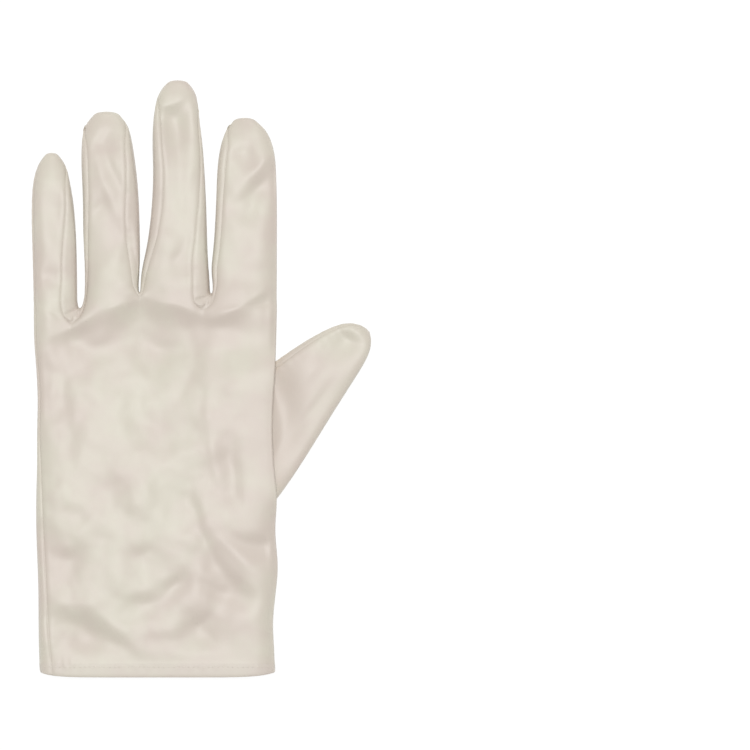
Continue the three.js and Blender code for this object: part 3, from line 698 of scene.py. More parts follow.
# %% Place of the net
hem_low, hem_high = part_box("wrist_hem")
SHIFT = Vector((500 * (hem_low.x + hem_high.x), 1000 * hem_low.y, 0))
print("the net is moved by", [round(v, 1) for v in SHIFT], "mm")


# %% Helpers for meshes
def sheet_mesh(name, points, faces, owners=None):
    mesh = bpy.data.meshes.new(name)
    mesh.from_pydata(points, [], faces)
    if owners is not None:
        for n in range(max(owners) + 1):
            mesh.materials.append(None)
        mesh.polygons.foreach_set("material_index", owners)
    mesh.update()
    sheet = bpy.data.objects.new(name, mesh)
    bpy.context.scene.collection.objects.link(sheet)
    return sheet


def apply_modifiers(target):
    deselect_all()
    target.select_set(True)
    bpy.context.view_layer.objects.active = target
    for modifier in list(target.modifiers):
        bpy.ops.object.modifier_apply(modifier=modifier.name)


def smooth_net(target, levels, kind="CATMULL_CLARK"):
    modifier = target.modifiers.new("smooth", "SUBSURF")
    modifier.subdivision_type = kind
    modifier.levels = modifier.render_levels = levels
    modifier.boundary_smooth = "PRESERVE_CORNERS"
    apply_modifiers(target)


print(len(net_points), "points and", len(net_faces), "faces to smooth")

# %% Smooth the net
MERGE = 0.02
SHORTEST = 0.005
net = sheet_mesh("net", net_points, *map(list, zip(*net_faces)))
shell = bmesh.new()
shell.from_mesh(net.data)
closing = set(zip(closing_seam, closing_seam[1:]))
closing |= {(b, a) for a, b in closing}
for edge in shell.edges:
    owners = {face.material_index for face in edge.link_faces}
    edge.seam = len(owners) > 1 or (edge.verts[0].index, edge.verts[1].index) in closing
bmesh.ops.remove_doubles(shell, verts=shell.verts, dist=MERGE)
bmesh.ops.dissolve_degenerate(shell, edges=shell.edges, dist=SHORTEST)
shell.to_mesh(net.data)
shell.free()
smooth_net(net, 2)
print(len(net.data.vertices), "points after smoothing")

# %% The smoothed net as arrays
net.data.calc_loop_triangles()
cloth_points = np.array([v.co for v in net.data.vertices])
seam_keys = [tuple(e.vertices) for e in net.data.edges if e.use_seam]
owner_of = np.array([p.material_index for p in net.data.polygons])


def normals_now(target, points):
    target.data.vertices.foreach_set("co", points.ravel())
    target.data.update()
    normals = np.zeros(len(points) * 3)
    target.data.vertex_normals.foreach_get("vector", normals)
    return normals.reshape(-1, 3)


cloth_normals = normals_now(net, cloth_points)
print(len(seam_keys), "edges on seams")

# %% [markdown]
# ## Folds
#
# An unworn glove keeps broad soft folds: an arch under the knuckles, hollows near the wrist, creases across
# the fingers. Each row of the tables is one of them, a long soft hill or hollow with one steep side, as
# cloth that was pushed together has. The arch's hollows are crisp: on the steep side they end in an edge.
# Between the folds the satin is never quite flat, which a slow noise gives. A cloth simulation would make
# folds too, but in places of its own.

# %% Table of folds
# x and y from the glove's middle, angle from +X in degrees, half length, half width, rise, in millimetres
ARCH = np.array([
    (-45.2, 14.7, 30, 11, 6.5, -1.9), (-28, 19.4, 16, 10, 9.5, -2.1), (-17, 19.4, -12, 10, 10.0, -2.1),
    (-5.4, 16.6, -22, 9, 9.0, -1.9), (14.5, 21.0, 25, 10, 6.0, -1.5), (24, 28.6, 38, 6, 4.0, -1.0),
    (-10.5, 99.0, 15, 5.5, 6.5, -2.3),
])
FOLDS = np.array([
    (-14, 11, -10, 8, 3.0, -0.7), (-38, 12, 20, 6, 3.0, -0.6),
    # the middle of the back
    (-54, -6, -82, 18, 4.0, -0.8), (-21, -17, -60, 14, 5.0, -0.9), (-36, -10, -40, 10, 4.0, 0.7),
    (-26, -45, -60, 12, 4.0, 0.4), (5, -28, -80, 14, 2.6, 0.7), (12, -39, -82, 16, 3.0, -0.9),
    (-40, -48, 60, 14, 4.0, 0.6), (-6, -4, 60, 9, 4.0, -0.7),
    # the creases above the wrist
    (23.5, -64.5, 12, 6, 3.6, -1.6), (14.8, -63.3, -12, 6, 3.4, -1.0), (14.8, -82.4, -38, 7, 4.0, -1.2),
    (-3, -51, -74, 10, 2.6, -0.7), (6.7, -73, -56, 12, 3.0, -1.1), (13, -67, -45, 9, 2.2, 0.8),
    (-10, -80, 38, 7, 3.0, -1.2), (-23, -87, -3, 9, 3.4, -1.2),
    (5, -82, -23, 10, 3.0, -0.9), (0, -95, 30, 6, 3.4, -1.5), (-45, -97, -28, 14, 4.2, -1.7),
    (-32, -97, -42, 15, 3.0, 0.8), (-51, -70.5, 10, 6, 4.6, -1.6), (-22, -68, 15, 6, 3.0, -0.9),
    (-12, -101, 0, 12, 3.0, -0.5),
    # the little finger, ring finger, middle finger and index finger
    (-57, 66, 20, 5, 8.0, -0.7), (-59.5, 39.5, 60, 4, 2.6, -0.8),
    (-38, 90.5, 50, 5, 3.0, -0.9), (-36.4, 73, -69, 12, 1.8, 0.5), (-34.5, 79.5, -66, 8, 2.0, -0.7),
    (-39, 66, 60, 4, 2.0, -0.6), (-33, 46, 70, 8, 3.0, 0.4),
    (-9, 73, -86, 18, 3.4, -0.6), (-8.3, 46.5, 55, 6, 3.0, -0.8),
    (22.2, 73.7, 46, 9, 2.6, -1.6), (22.5, 81.4, 47, 8, 1.3, 0.5), (16, 87, 30, 4, 3.0, -0.8),
    (18.7, 64, 50, 4, 2.4, -0.6),
    # the fourchette between ring finger and middle finger
    (-25.8, 46, -78, 9, 1.7, -1.0),
])
THUMB_FOLDS = np.array([
    (29.0, -6, 100, 12, 4.0, -2.2), (31, -24, 75, 12, 4.0, -1.4), (56, 14.5, -30, 6, 3.4, -1.9),
    (48, 10, 60, 6, 4.0, -0.7), (41, 2, 50, 12, 3.0, 0.4), (43, -12, 52, 14, 2.4, -0.5),
])
print(len(ARCH) + len(FOLDS) + len(THUMB_FOLDS), "folds")


# %% Height of the folds
SLOW_SIDE = 2
FOLD_BEND = 0.18


def fold_heights(points, folds, crisp=False):
    """How far the folds lift each point. A hollow is steep on its upper side, a hill on its lower one."""
    x, y = points[:, 0] + SHIFT.x, points[:, 1] + SHIFT.y
    total = np.zeros(len(points))
    for fold_x, fold_y, angle, long, wide, rise in folds:
        turn = math.radians(angle)
        dx, dy = x - fold_x, y - fold_y
        lengthwise = (dx * math.cos(turn) + dy * math.sin(turn)) / long
        crosswise = (dy * math.cos(turn) - dx * math.sin(turn)) / wide - FOLD_BEND * lengthwise**2
        steep = crosswise > 0 if rise < 0 else crosswise < 0
        profile = np.exp(-((crosswise / np.where(steep, 1, SLOW_SIDE)) ** 2))
        if crisp:
            profile = np.where(steep, np.clip(1 - crosswise**2, 0, None) ** 1.3, profile)
        total += rise * np.exp(-(lengthwise**2)) * profile
    return total


print("the deepest hollow is", -min(ARCH[:, 5].min(), FOLDS[:, 5].min()), "mm")

# %% Where the back is uneven
# height, size and seed of each noise, in millimetres
WAVES = [(0.7, 17, 3.1), (0.32, 8, 7.7), (0.08, 4, 1.9)]
sample_y = np.linspace(0, HAND_LENGTH, 120)
sample_hand = np.array([hand_at(y)[:2] for y in sample_y])


def side_fade(points):
    """1 on the hand's back, 0 at its sides, and about 1 on the fingers."""
    half = np.interp(points[:, 1], sample_y, sample_hand[:, 0])
    centre = np.interp(points[:, 1], sample_y, sample_hand[:, 1])
    across = np.abs(points[:, 0] - centre) / half
    fade = 1 - smooth_step(across, 0.9, 1.0)
    on_finger = smooth_step(points[:, 1], HAND_LENGTH - 2, HAND_LENGTH + 14)
    return np.maximum(fade, on_finger)


def soft_noise(points, size, seed):
    return np.array([noise.noise(Vector(p / size) + Vector((seed, 2 * seed, 0))) for p in points])


def unevenness(points):
    waves = sum(height * soft_noise(points, size, seed) for height, size, seed in WAVES)
    fingers = smooth_step(points[:, 1], HAND_LENGTH - 25, HAND_LENGTH + 5)
    fold_side = smooth_step(points[:, 0], 26, 38) * (1 - fingers)
    return waves * (1.4 - 0.4 * fingers) * (1 - 0.7 * fold_side)


print(len(WAVES), "sizes of unevenness")

# %% Lay the folds
back_up = smooth_step(cloth_normals[:, 2], 0.15, 0.75)
above_hem = smooth_step(cloth_points[:, 1], 3.0, 14.0)
folds = fold_heights(cloth_points, FOLDS) + fold_heights(cloth_points, ARCH, crisp=True)
lift = back_up * above_hem * (side_fade(cloth_points) * folds + unevenness(cloth_points))
cloth_points[:, 2] += lift
cloth_normals = normals_now(net, cloth_points)
print("folds from", round(lift.min(), 2), "to", round(lift.max(), 2), "mm")

# %% [markdown]
# ## Seams
#
# At a seam the two cloths roll inwards and meet in a narrow groove. Next to it they stand up a little, and
# the thread gathers them into small puckers. For each point of the cloth the nearest place on a seam is
# looked up, and the cloth is moved along its normal by a profile of that distance. Bump could draw the
# groove, but a real one also shows from the side and in the exported mesh.

# %% Seam profile
def chains_of(edges):
    """Edges sorted into runs of points that follow each other."""
    links = {}
    for a, b in edges:
        links.setdefault(a, []).append(b)
        links.setdefault(b, []).append(a)
    ends = [v for v in links if len(links[v]) != 2]
    unused = {frozenset(e) for e in edges}
    chains = []
    for start in [*ends, *links]:
        for following in links[start]:
            if frozenset((start, following)) not in unused:
                continue
            chain, here, ahead = [start], start, following
            while frozenset((here, ahead)) in unused:
                unused.discard(frozenset((here, ahead)))
                chain.append(ahead)
                if len(links[ahead]) != 2:
                    break
                beyond = [v for v in links[ahead] if v != here]
                here, ahead = ahead, beyond[0] if beyond else here
            chains.append(chain)
    return chains


def resample(line, step):
    """Points along a line, a step apart, with the length up to each."""
    gaps = np.linalg.norm(np.diff(line, axis=0), axis=1)
    run = np.concatenate([[0], np.cumsum(gaps)])
    places = np.arange(0, run[-1], step)
    return np.column_stack([np.interp(places, run, line[:, c]) for c in range(3)]), places


seam_chains = [chain for chain in chains_of(seam_keys) if len(chain) > 2]
seam_lines = [cloth_points[chain] for chain in seam_chains]
hem_line = [n for n, line in enumerate(seam_lines) if np.ptp(line[:, 0]) > 60 and line[:, 1].max() < 10]
print(len(seam_lines), "seams,", len(hem_line), "of them the hem's")

# %% The nearest seam to each point
SPOT_STEP = 0.25


def nearest_on(spots, points):
    """For each point, the distance to the nearest spot and that spot's number."""
    tree = KDTree(len(spots))
    for n, spot in enumerate(spots):
        tree.insert(spot, n)
    tree.balance()
    found = [tree.find(point) for point in points]
    return np.array([distance for _, _, distance in found]), [index for _, index, _ in found]


sampled = [resample(line, SPOT_STEP) for line in seam_lines]
seam_distance, nearest = nearest_on(np.concatenate([spots for spots, _ in sampled]), cloth_points)
seam_run = np.concatenate([run for _, run in sampled])[nearest]
nearest_seam = np.concatenate([np.full(len(run), n) for n, (_, run) in enumerate(sampled)])[nearest]
at_hem = np.isin(nearest_seam, hem_line)
print(int(at_hem.sum()), "points are nearest to the hem's seam")

# %% Relief of a seam
LOWEST = 0.02
GROOVE_DEPTH, GROOVE_WIDTH = 0.12, 0.32
SHOULDER = 0.05
PUCKER, PUCKER_STEP = 0.07, 3.7


def seam_relief(distance, waves, level=1.0):
    """A narrow groove, a low shoulder beside it, and puckers that die away from the seam."""
    groove = -GROOVE_DEPTH * level * np.exp(-((distance / GROOVE_WIDTH) ** 2))
    shoulder = SHOULDER * np.exp(-(((distance - 1.4) / 0.8) ** 2))
    near = np.exp(-distance / 2.2) * smooth_step(distance, 0.2, 1.2)
    return groove + shoulder + PUCKER * waves * near


def hem_relief(x, y, run):
    """The hem's second layer stands up a little, waves along its edge and gathers at both corners."""
    step = 0.1 * (1 - smooth_step(y, 4.8, 6.6))
    left = np.sin(1.9 * x + 0.9 * np.sin(0.7 * x)) * np.exp(-(((x + 35) / 6.5) ** 2) - ((y - 5.4) / 2.0) ** 2)
    right = np.sin(2.3 * x) * np.exp(-(((x - 41) / 4) ** 2) - ((y - 5.0) / 1.6) ** 2)
    edge = 0.05 * np.sin(2 * math.pi * run / 5.2) * np.exp(-(((y - 3.9) / 1.3) ** 2))
    return step + 0.07 * (left + right) + edge


print("a seam dips", round(-float(seam_relief(0.0, 0.0)), 2), "mm")

# %% Draw the seams in
# width of the painted shade along the seams, in millimetres
PAINTED_SEAM_SHADE_WIDTH = 0.5
level = smooth_step(np.abs(cloth_normals[:, 2]), 0.05, 0.4)
waves = np.sin(2 * math.pi * seam_run / PUCKER_STEP + 1.3 * np.sin(seam_run / 5.1) + nearest_seam)
moved = np.where(at_hem, 0, seam_relief(seam_distance, waves, level))
moved += hem_relief(cloth_points[:, 0], cloth_points[:, 1], seam_run)
cloth_points += cloth_normals * moved[:, None]
cloth_points[:, 2] = np.maximum(cloth_points[:, 2], LOWEST)
cloth_normals = normals_now(net, cloth_points)
# painted shade: the satin's colour is darkened along each seam's groove, where shade falls in it; there is
# none at the hem
painted_seam_shade = np.where(at_hem, 0, level * np.exp(-((seam_distance / PAINTED_SEAM_SHADE_WIDTH) ** 2)))
print("grooves up to", round(-moved.min(), 2), "mm deep")

# %% [markdown]
# ## The thumb
#
# The thumb is a tapered tube, sewn along its upper side. It is drawn as rings between pairs of points on
# its upper and lower outline, from under the palm to its round tip. A cylinder bent and scaled by hand would
# do, but rings between two outlines give the slanted root and the round tip in one go. The angles of the
# points are closest at the seam and at both flat edges, where the cloth turns most.

# %% Rings of the thumb
THUMB_SECTIONS = [
    (-0.9, 0.48, -0.9, 0.07, 1.0), (-0.84, 0.64, -0.8, -0.09, 1.0), (-0.64, 0.75, -0.6, -0.19, 1.0),
    (-0.38, 0.85, -0.36, -0.21, 1.0), (-0.16, 0.93, -0.16, -0.11, 1.0), (0.0, 1.0, 0.0, 0.01, 1.0),
    (0.15, 1.07, 0.22, 0.22, 1.0), (0.31, 1.14, 0.45, 0.47, 1.0), (0.47, 1.2, 0.66, 0.7, 1.0),
    (0.62, 1.245, 0.83, 0.876, 0.98), (0.73, 1.263, 0.94, 0.997, 0.9), (0.83, 1.26, 0.99, 1.08, 0.74),
    (0.92, 1.235, 0.995, 1.144, 0.5),
]
THUMB_TIP = (0.975, 1.2)
THUMB_TURNS = (6, 16, 24, 29, 34, 48, 66, 90, 114, 134, 150, 163, 174, 186, 200, 225, 250, 275, 300, 325, 348)
THUMB_SEAM = THUMB_TURNS.index(29)
THUMB_SIDE, THUMB_BACK = 0.85, 0.4
thumb_half, thumb_centre, _, _ = hand_at(THUMB_START + THUMB_ROOT)
THUMB_LEVEL = EDGE_LEVEL * THUMB_HEIGHT


def thumb_point(x, y):
    return Vector((thumb_centre + thumb_half + x * THUMB_REACH, THUMB_START + y * THUMB_ROOT, THUMB_LEVEL))


def thumb_ring(upper_x, upper_y, lower_x, lower_y, height):
    upper, lower = thumb_point(upper_x, upper_y), thumb_point(lower_x, lower_y)
    middle = upper.lerp(lower, 0.5)
    above, below = (THUMB_HEIGHT - THUMB_LEVEL) * height, THUMB_LEVEL * height**0.7
    ring = []
    for degrees in THUMB_TURNS:
        across, up = math.cos(math.radians(degrees)), math.sin(math.radians(degrees))
        out = math.copysign(abs(across) ** THUMB_SIDE, across)
        rise = above * up**THUMB_BACK if up > 0 else -below * (-up) ** THUMB_BACK
        point = middle + (upper - middle) * out
        point.z = THUMB_LEVEL + rise
        ring.append(point)
    return ring


print(len(THUMB_TURNS), "points in a ring")

# %% Join the rings of the thumb
rings = [thumb_ring(*section) for section in THUMB_SECTIONS]
tip = thumb_point(*THUMB_TIP)
for share in (0.55, 0.2):
    rings.append([tip.lerp(point, share) for point in rings[len(THUMB_SECTIONS) - 1]])
thumb_points = [point for ring in rings for point in ring] + [tip]
count = len(THUMB_TURNS)
thumb_faces = [
    [r * count + n, r * count + (n + 1) % count, (r + 1) * count + (n + 1) % count, (r + 1) * count + n]
    for r in range(len(rings) - 1) for n in range(count)
]
last = (len(rings) - 1) * count
thumb_faces += [[last + n, last + (n + 1) % count, len(thumb_points) - 1] for n in range(count)]
thumb_net = sheet_mesh("thumb_net", thumb_points, thumb_faces)
for edge in thumb_net.data.edges:
    a, b = sorted(edge.vertices)
    edge.use_seam = a % count == THUMB_SEAM and b - a == count
smooth_net(thumb_net, 3)
print(len(thumb_net.data.vertices), "points in the thumb")

# %% Folds and seam of the thumb
# width of the painted shade along the thumb's seam, in millimetres
PAINTED_THUMB_SHADE_WIDTH = 0.7
thumb_cloth = np.array([v.co for v in thumb_net.data.vertices])
thumb_normals = normals_now(thumb_net, thumb_cloth)
thumb_up = smooth_step(thumb_normals[:, 2], 0.15, 0.75)
thumb_cloth[:, 2] += thumb_up * (fold_heights(thumb_cloth, THUMB_FOLDS) + 0.5 * unevenness(thumb_cloth))
thumb_normals = normals_now(thumb_net, thumb_cloth)
thumb_chain = max(chains_of([tuple(e.vertices) for e in thumb_net.data.edges if e.use_seam]), key=len)
spots, runs = resample(thumb_cloth[thumb_chain], SPOT_STEP)
thumb_distance, nearest = nearest_on(spots, thumb_cloth)
puckers = np.sin(2 * math.pi * runs[nearest] / PUCKER_STEP)
thumb_cloth += thumb_normals * seam_relief(thumb_distance, puckers)[:, None]
thumb_cloth[:, 2] = np.maximum(thumb_cloth[:, 2], LOWEST)
normals_now(thumb_net, thumb_cloth)
# painted shade: the thumb's colour is darkened along its seam groove, where shade falls in it
painted_thumb_shade = np.exp(-((thumb_distance / PAINTED_THUMB_SHADE_WIDTH) ** 2))
print("thumb seam", round(runs[-1], 1), "mm long")

# %% [markdown]
# ## Where the thumb goes into the hand
#
# The palm has a hole for the thumb. The palm's cloth inside the thumb is cut away, and so is the thumb's
# cloth inside the hand, where the real seam lies. Each cut edge still reaches a hair into the other cloth, so
# that no gap shows. A Boolean would cut them too, but it would leave slivers along the seam.

# %% Cut the hole and the thumb's root
def tree_of(target, points):
    faces = [tuple(p.vertices) for p in target.data.polygons]
    return BVHTree.FromPolygons([Vector(p) for p in points], faces)


def depth_inside(bvh, points, near):
    """How far each point lies inside a shape, in millimetres. Outside is negative."""
    depths = np.full(len(points), -9.0)
    for n in np.flatnonzero(near):
        place, normal, _, distance = bvh.find_nearest(Vector(points[n]))
        inside = (Vector(points[n]) - place).dot(normal) < 0
        depths[n] = distance if inside else -distance
    return depths


thumb_bvh, hand_bvh = tree_of(thumb_net, thumb_cloth), tree_of(net, cloth_points)
near_thumb = (cloth_points[:, 0] > 5) & (cloth_points[:, 1] > 50) & (cloth_points[:, 1] < 135)
near_thumb &= cloth_normals[:, 2] < 0.3
in_thumb = depth_inside(thumb_bvh, cloth_points, near_thumb)
in_hand = depth_inside(hand_bvh, thumb_cloth, thumb_cloth[:, 0] < thumb_centre + thumb_half)
print((in_thumb > 0).sum(), "palm points in the thumb,", (in_hand > 0).sum(), "thumb points in the hand")

# %% [markdown]
# ## One piece of cloth
#
# Each piece takes its own faces of the net. Where it was cut, its edge is turned in as a seam allowance,
# and Solidify gives it the thickness of satin. The fourchettes are divided once more, because at the bottom
# between two fingers the strip is crumpled into tiny folds.

# %% Tiny folds between the fingers
CROTCH_FOLDS = np.array([
    # between little finger and ring finger
    (-50.4, 25.4, 24, 3.4, 0.7, -0.55), (-51, 22.9, 15, 2.6, 1.1, 0.5), (-52.4, 22.2, -50, 1.6, 0.45, -0.35),
    (-49.4, 22.6, 75, 1.7, 0.4, -0.35), (-47.4, 24.2, 70, 1.8, 0.45, -0.45), (-53.2, 24, -70, 1.4, 0.4, 0.3),
    # between middle finger and index finger
    (0.0, 30.6, 17, 3.6, 0.7, -0.6), (-0.6, 28.4, 12, 2.8, 1.0, 0.5), (-2.3, 27.8, -45, 1.6, 0.45, -0.4),
    (1.1, 28.0, 60, 1.7, 0.4, -0.35), (3.1, 29.4, 70, 1.6, 0.4, -0.4), (-3.0, 29.6, -75, 1.5, 0.4, 0.3),
])
print(len(CROTCH_FOLDS), "tiny folds")


# %% Take a piece out of the net
def take_faces(name, source, points, keep, shade, dropped):
    """A new mesh from the kept faces of a net, without those whose corners are all dropped. It keeps the
    painted seam shade in its attribute named seam.
    """
    faces = [tuple(p.vertices) for p, wanted in zip(source.data.polygons, keep) if wanted]
    faces = [f for f in faces if not all(dropped[v] for v in f)]
    used = sorted({v for f in faces for v in f})
    number = {v: n for n, v in enumerate(used)}
    piece = sheet_mesh(name, [Vector(points[v]) for v in used], [[number[v] for v in f] for f in faces])
    # the attribute seam holds the painted shade along the seams
    painted_shade_mask = piece.data.attributes.new("seam", "FLOAT", "POINT")
    painted_shade_mask.data.foreach_set("value", shade[used])
    return piece


def mesh_arrays(piece):
    count = len(piece.data.vertices)
    co, up, painted_shade = np.zeros(count * 3), np.zeros(count * 3), np.zeros(count)
    piece.data.vertices.foreach_get("co", co)
    piece.data.vertex_normals.foreach_get("vector", up)
    piece.data.attributes["seam"].data.foreach_get("value", painted_shade)
    return co.reshape(-1, 3), up.reshape(-1, 3), painted_shade


print("each piece keeps", round(float(painted_seam_shade.max()), 2), "of seam shade at most")


# %% Crumple a fourchette
def crumple(piece):
    smooth_net(piece, 1, "SIMPLE")
    co, up, painted_shade = mesh_arrays(piece)
    # the painted seam shade also keeps the tiny folds away from the seams
    strength = (1 - np.clip(painted_shade, 0, 1)) * smooth_step(up[:, 2], 0.0, 0.4)
    co[:, 2] += strength * fold_heights(co, CROTCH_FOLDS)
    piece.data.vertices.foreach_set("co", co.ravel())
    piece.data.update()


print("tiny folds up to", -CROTCH_FOLDS[:, 5].min(), "mm deep")

# %% Turn the cut edges in and thicken
SEAM_GAP = 0.005
TURN_IN = 0.12
CREASE_ANGLE = 50


def sew_in(piece, allowance):
    """Turns the cut edges in, gives the cloth its thickness, and turns millimetres into metres. The turned-in
    edges keep the painted seam shade of the edge they come from.
    """
    co, up, painted_shade = mesh_arrays(piece)
    faces = [list(p.vertices) for p in piece.data.polygons]
    edges = {(a, b) for f in faces for a, b in zip(f, [*f[1:], f[0]])}
    rim = sorted((a, b) for a, b in edges if (b, a) not in edges)
    ahead = np.zeros_like(co)
    for a, b in rim:
        along = co[b] - co[a]
        along /= max(np.linalg.norm(along), 1e-9)
        ahead[a] += along
        ahead[b] += along
    away = np.cross(up, ahead)
    length = np.linalg.norm(away, axis=1)
    away[length > 1e-6] /= length[length > 1e-6][:, None]
    co = co + away * SEAM_GAP
    at_rim = sorted({v for e in rim for v in e})
    turned = {v: len(co) + n for n, v in enumerate(at_rim)}
    under = co[at_rim] - up[at_rim] * allowance + away[at_rim] * TURN_IN
    co, painted_shade = np.vstack([co, under]), np.concatenate([painted_shade, painted_shade[at_rim]])
    faces += [[b, a, turned[a], turned[b]] for a, b in rim]
    mesh = bpy.data.meshes.new(piece.name)
    mesh.from_pydata([Vector(p) * MM for p in co + np.array(SHIFT)], [], faces)
    painted_shade_mask = mesh.attributes.new("seam", "FLOAT", "POINT")
    painted_shade_mask.data.foreach_set("value", painted_shade)
    mesh.update()
    piece.data = mesh
    thickness = piece.modifiers.new("cloth", "SOLIDIFY")
    thickness.thickness = CLOTH * MM
    thickness.offset = -1
    thickness.use_even_offset = False
    apply_modifiers(piece)
    bpy.ops.object.shade_smooth_by_angle(angle=math.radians(CREASE_ANGLE))
    print(piece.name, len(piece.data.polygons), "faces")


print("cloth", CLOTH, "mm thick")

# %% Cut and thicken all the pieces
ALLOWANCE, THUMB_ALLOWANCE = 0.5, 0.4
pieces = {}
nothing = np.zeros(len(cloth_points), bool)
for number, name in enumerate(PIECES):
    dropped = in_thumb > 0.15 if number == HAND_PIECE else nothing
    piece = take_faces(name + "_satin", net, cloth_points, owner_of == number, painted_seam_shade, dropped)
    if name.startswith("fourchette"):
        crumple(piece)
    sew_in(piece, ALLOWANCE)
    pieces[name] = piece
whole = np.ones(len(thumb_net.data.polygons), bool)
pieces["thumb"] = take_faces("thumb_satin", thumb_net, thumb_cloth, whole, painted_thumb_shade, in_hand > 0.3)
sew_in(pieces["thumb"], THUMB_ALLOWANCE)
for name, piece in pieces.items():
    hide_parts(name)
bpy.data.objects.remove(net)
bpy.data.objects.remove(thumb_net)
print(len(pieces), "pieces stand for the solids of the same names")

# %% [markdown]
# ## Stitches
#
# The seams are held by small stitches deep in their grooves, and the hem by a row of running stitches, one
# on the back and one on the palm. Each stitch is a short bent thread with six sides, and its two ends dive
# into the cloth. They are real threads of their own, because bump alone would be lost from the side.

# %% Stitch maker
SIDES = 6
STITCH_BEND = ((-1, 1), (-0.55, 0.1), (0.55, 0.1), (1, 1))


def stitches(name, centres, alongs, ups, length, radius, sink):
    """One object of many stitches. Each lies along its own direction, with its ends sunk into the cloth."""
    points, faces = [], []
    for centre, along, up in zip(centres, alongs, ups):
        across = np.cross(up, along)
        start = len(points)
        for place, drop in STITCH_BEND:
            middle = centre + along * place * length / 2 - up * drop * sink
            for n in range(SIDES):
                turn = 2 * math.pi * n / SIDES
                points.append(middle + radius * (across * math.cos(turn) + up * math.sin(turn)))
        for ring in range(3):
            a, b = start + ring * SIDES, start + (ring + 1) * SIDES
            faces += [[a + n, a + (n + 1) % SIDES, b + (n + 1) % SIDES, b + n] for n in range(SIDES)]
        faces.append([start + n for n in range(SIDES)][::-1])
        faces.append([start + 3 * SIDES + n for n in range(SIDES)])
    thread = sheet_mesh(name, [Vector(p) * MM for p in np.array(points) + np.array(SHIFT)], faces)
    shell = bmesh.new()
    shell.from_mesh(thread.data)
    bmesh.ops.recalc_face_normals(shell, faces=shell.faces)
    shell.to_mesh(thread.data)
    shell.free()
    for polygon in thread.data.polygons:
        polygon.use_smooth = True
    print(name, len(centres), "stitches")
    return thread


print("a stitch has", SIDES, "sides")


# %% Places for stitches along a seam
def path_frames(points, normals, step):
    """Places along a line with the direction of the line and of the cloth's normal there."""
    gaps = np.linalg.norm(np.diff(points, axis=0), axis=1)
    run = np.concatenate([[0], np.cumsum(gaps)])
    places = np.arange(0.5 * step, run[-1] - 0.3 * step, step)

    def between(rows, where):
        return np.column_stack([np.interp(where, run, rows[:, c]) for c in range(3)])

    at, up = between(points, places), between(normals, places)
    ahead = between(points, places + 0.3) - at
    up /= np.linalg.norm(up, axis=1)[:, None]
    ahead -= up * (ahead * up).sum(axis=1)[:, None]
    ahead /= np.linalg.norm(ahead, axis=1)[:, None]
    return at, ahead, up


SEAM_STITCH_STEP = 2.1
first_seam = seam_chains[0]
places, _, _ = path_frames(cloth_points[first_seam], cloth_normals[first_seam], SEAM_STITCH_STEP)
print("the first seam has places for", len(places), "stitches")

# %% Sew the seams
SEAM_STITCH = {"length": 0.9, "radius": 0.06, "sink": 0.16}
SEAM_STITCH_LIFT = 0.05
frames = [
    path_frames(cloth_points[chain], cloth_normals[chain], SEAM_STITCH_STEP)
    for n, chain in enumerate(seam_chains) if n not in hem_line
]
thumb_frames = path_frames(thumb_cloth[thumb_chain], thumb_normals[thumb_chain], SEAM_STITCH_STEP)
outside = depth_inside(hand_bvh, thumb_frames[0], np.ones(len(thumb_frames[0]), bool)) < -0.6
frames.append([rows[outside] for rows in thumb_frames])
at, ahead, ups = map(np.concatenate, zip(*frames))
seam_thread = stitches("seam_stitches", at + ups * SEAM_STITCH_LIFT, np.cross(ups, ahead), ups, **SEAM_STITCH)

# %% Sew the hem
HEM_STITCH = {"length": 1.2, "radius": 0.12, "sink": 0.24}
HEM_STITCH_LINE, HEM_STITCH_STEP, HEM_STITCH_LIFT = 4.1, 1.9, 0.04
HEM_ROW = 43.0
centres, alongs, ups = [], [], []
for side in (1, -1):
    for x in np.arange(-HEM_ROW, HEM_ROW, HEM_STITCH_STEP):
        lean = 0.35 * math.sin(5 * x)
        start = Vector((x, HEM_STITCH_LINE + 0.12 * math.sin(7 * x), 40 * side))
        place, up, _, _ = hand_bvh.ray_cast(start, Vector((0, 0, -side)))
        along = Vector((1, lean, 0)) - up * (up.x + lean * up.y)
        centres.append(np.array(place + up * HEM_STITCH_LIFT))
        alongs.append(np.array(along.normalized()))
        ups.append(np.array(up))
hem_thread = stitches("hem_stitches", centres, alongs, ups, **HEM_STITCH)

# %% [markdown]
# ## Satin
#
# Satin has long threads that float over the weave and all run one way, so it shines softly, and brighter at
# a low angle. The shine is a middling roughness with a little sheen. The threads are a very fine bump,
# stretched along the hand. The dye isn't quite even: patches a centimetre or two wide are a little pinker or
# yellower. Threads and dye are node groups, so that cloth, hem and stitches share them. Image textures
# could do the same, but noise in object coordinates has no seams and needs no unwrapping.

# %% Helpers for nodes
def new_group(name, inputs, outputs):
    group = bpy.data.node_groups.new(name, "ShaderNodeTree")
    for socket, kind in inputs:
        group.interface.new_socket(socket, in_out="INPUT", socket_type=kind)
    for socket, kind in outputs:
        group.interface.new_socket(socket, in_out="OUTPUT", socket_type=kind)
    return group, group.nodes.new("NodeGroupInput"), group.nodes.new("NodeGroupOutput")


def add_node(tree, kind, **values):
    node = tree.nodes.new(kind)
    for key, value in values.items():
        if key in node.inputs:
            node.inputs[key].default_value = value
        else:
            setattr(node, key, value)
    return node


def wire(tree, *links):
    for start, end in links:
        tree.links.new(start, end)


print("node groups so far", len(bpy.data.node_groups))

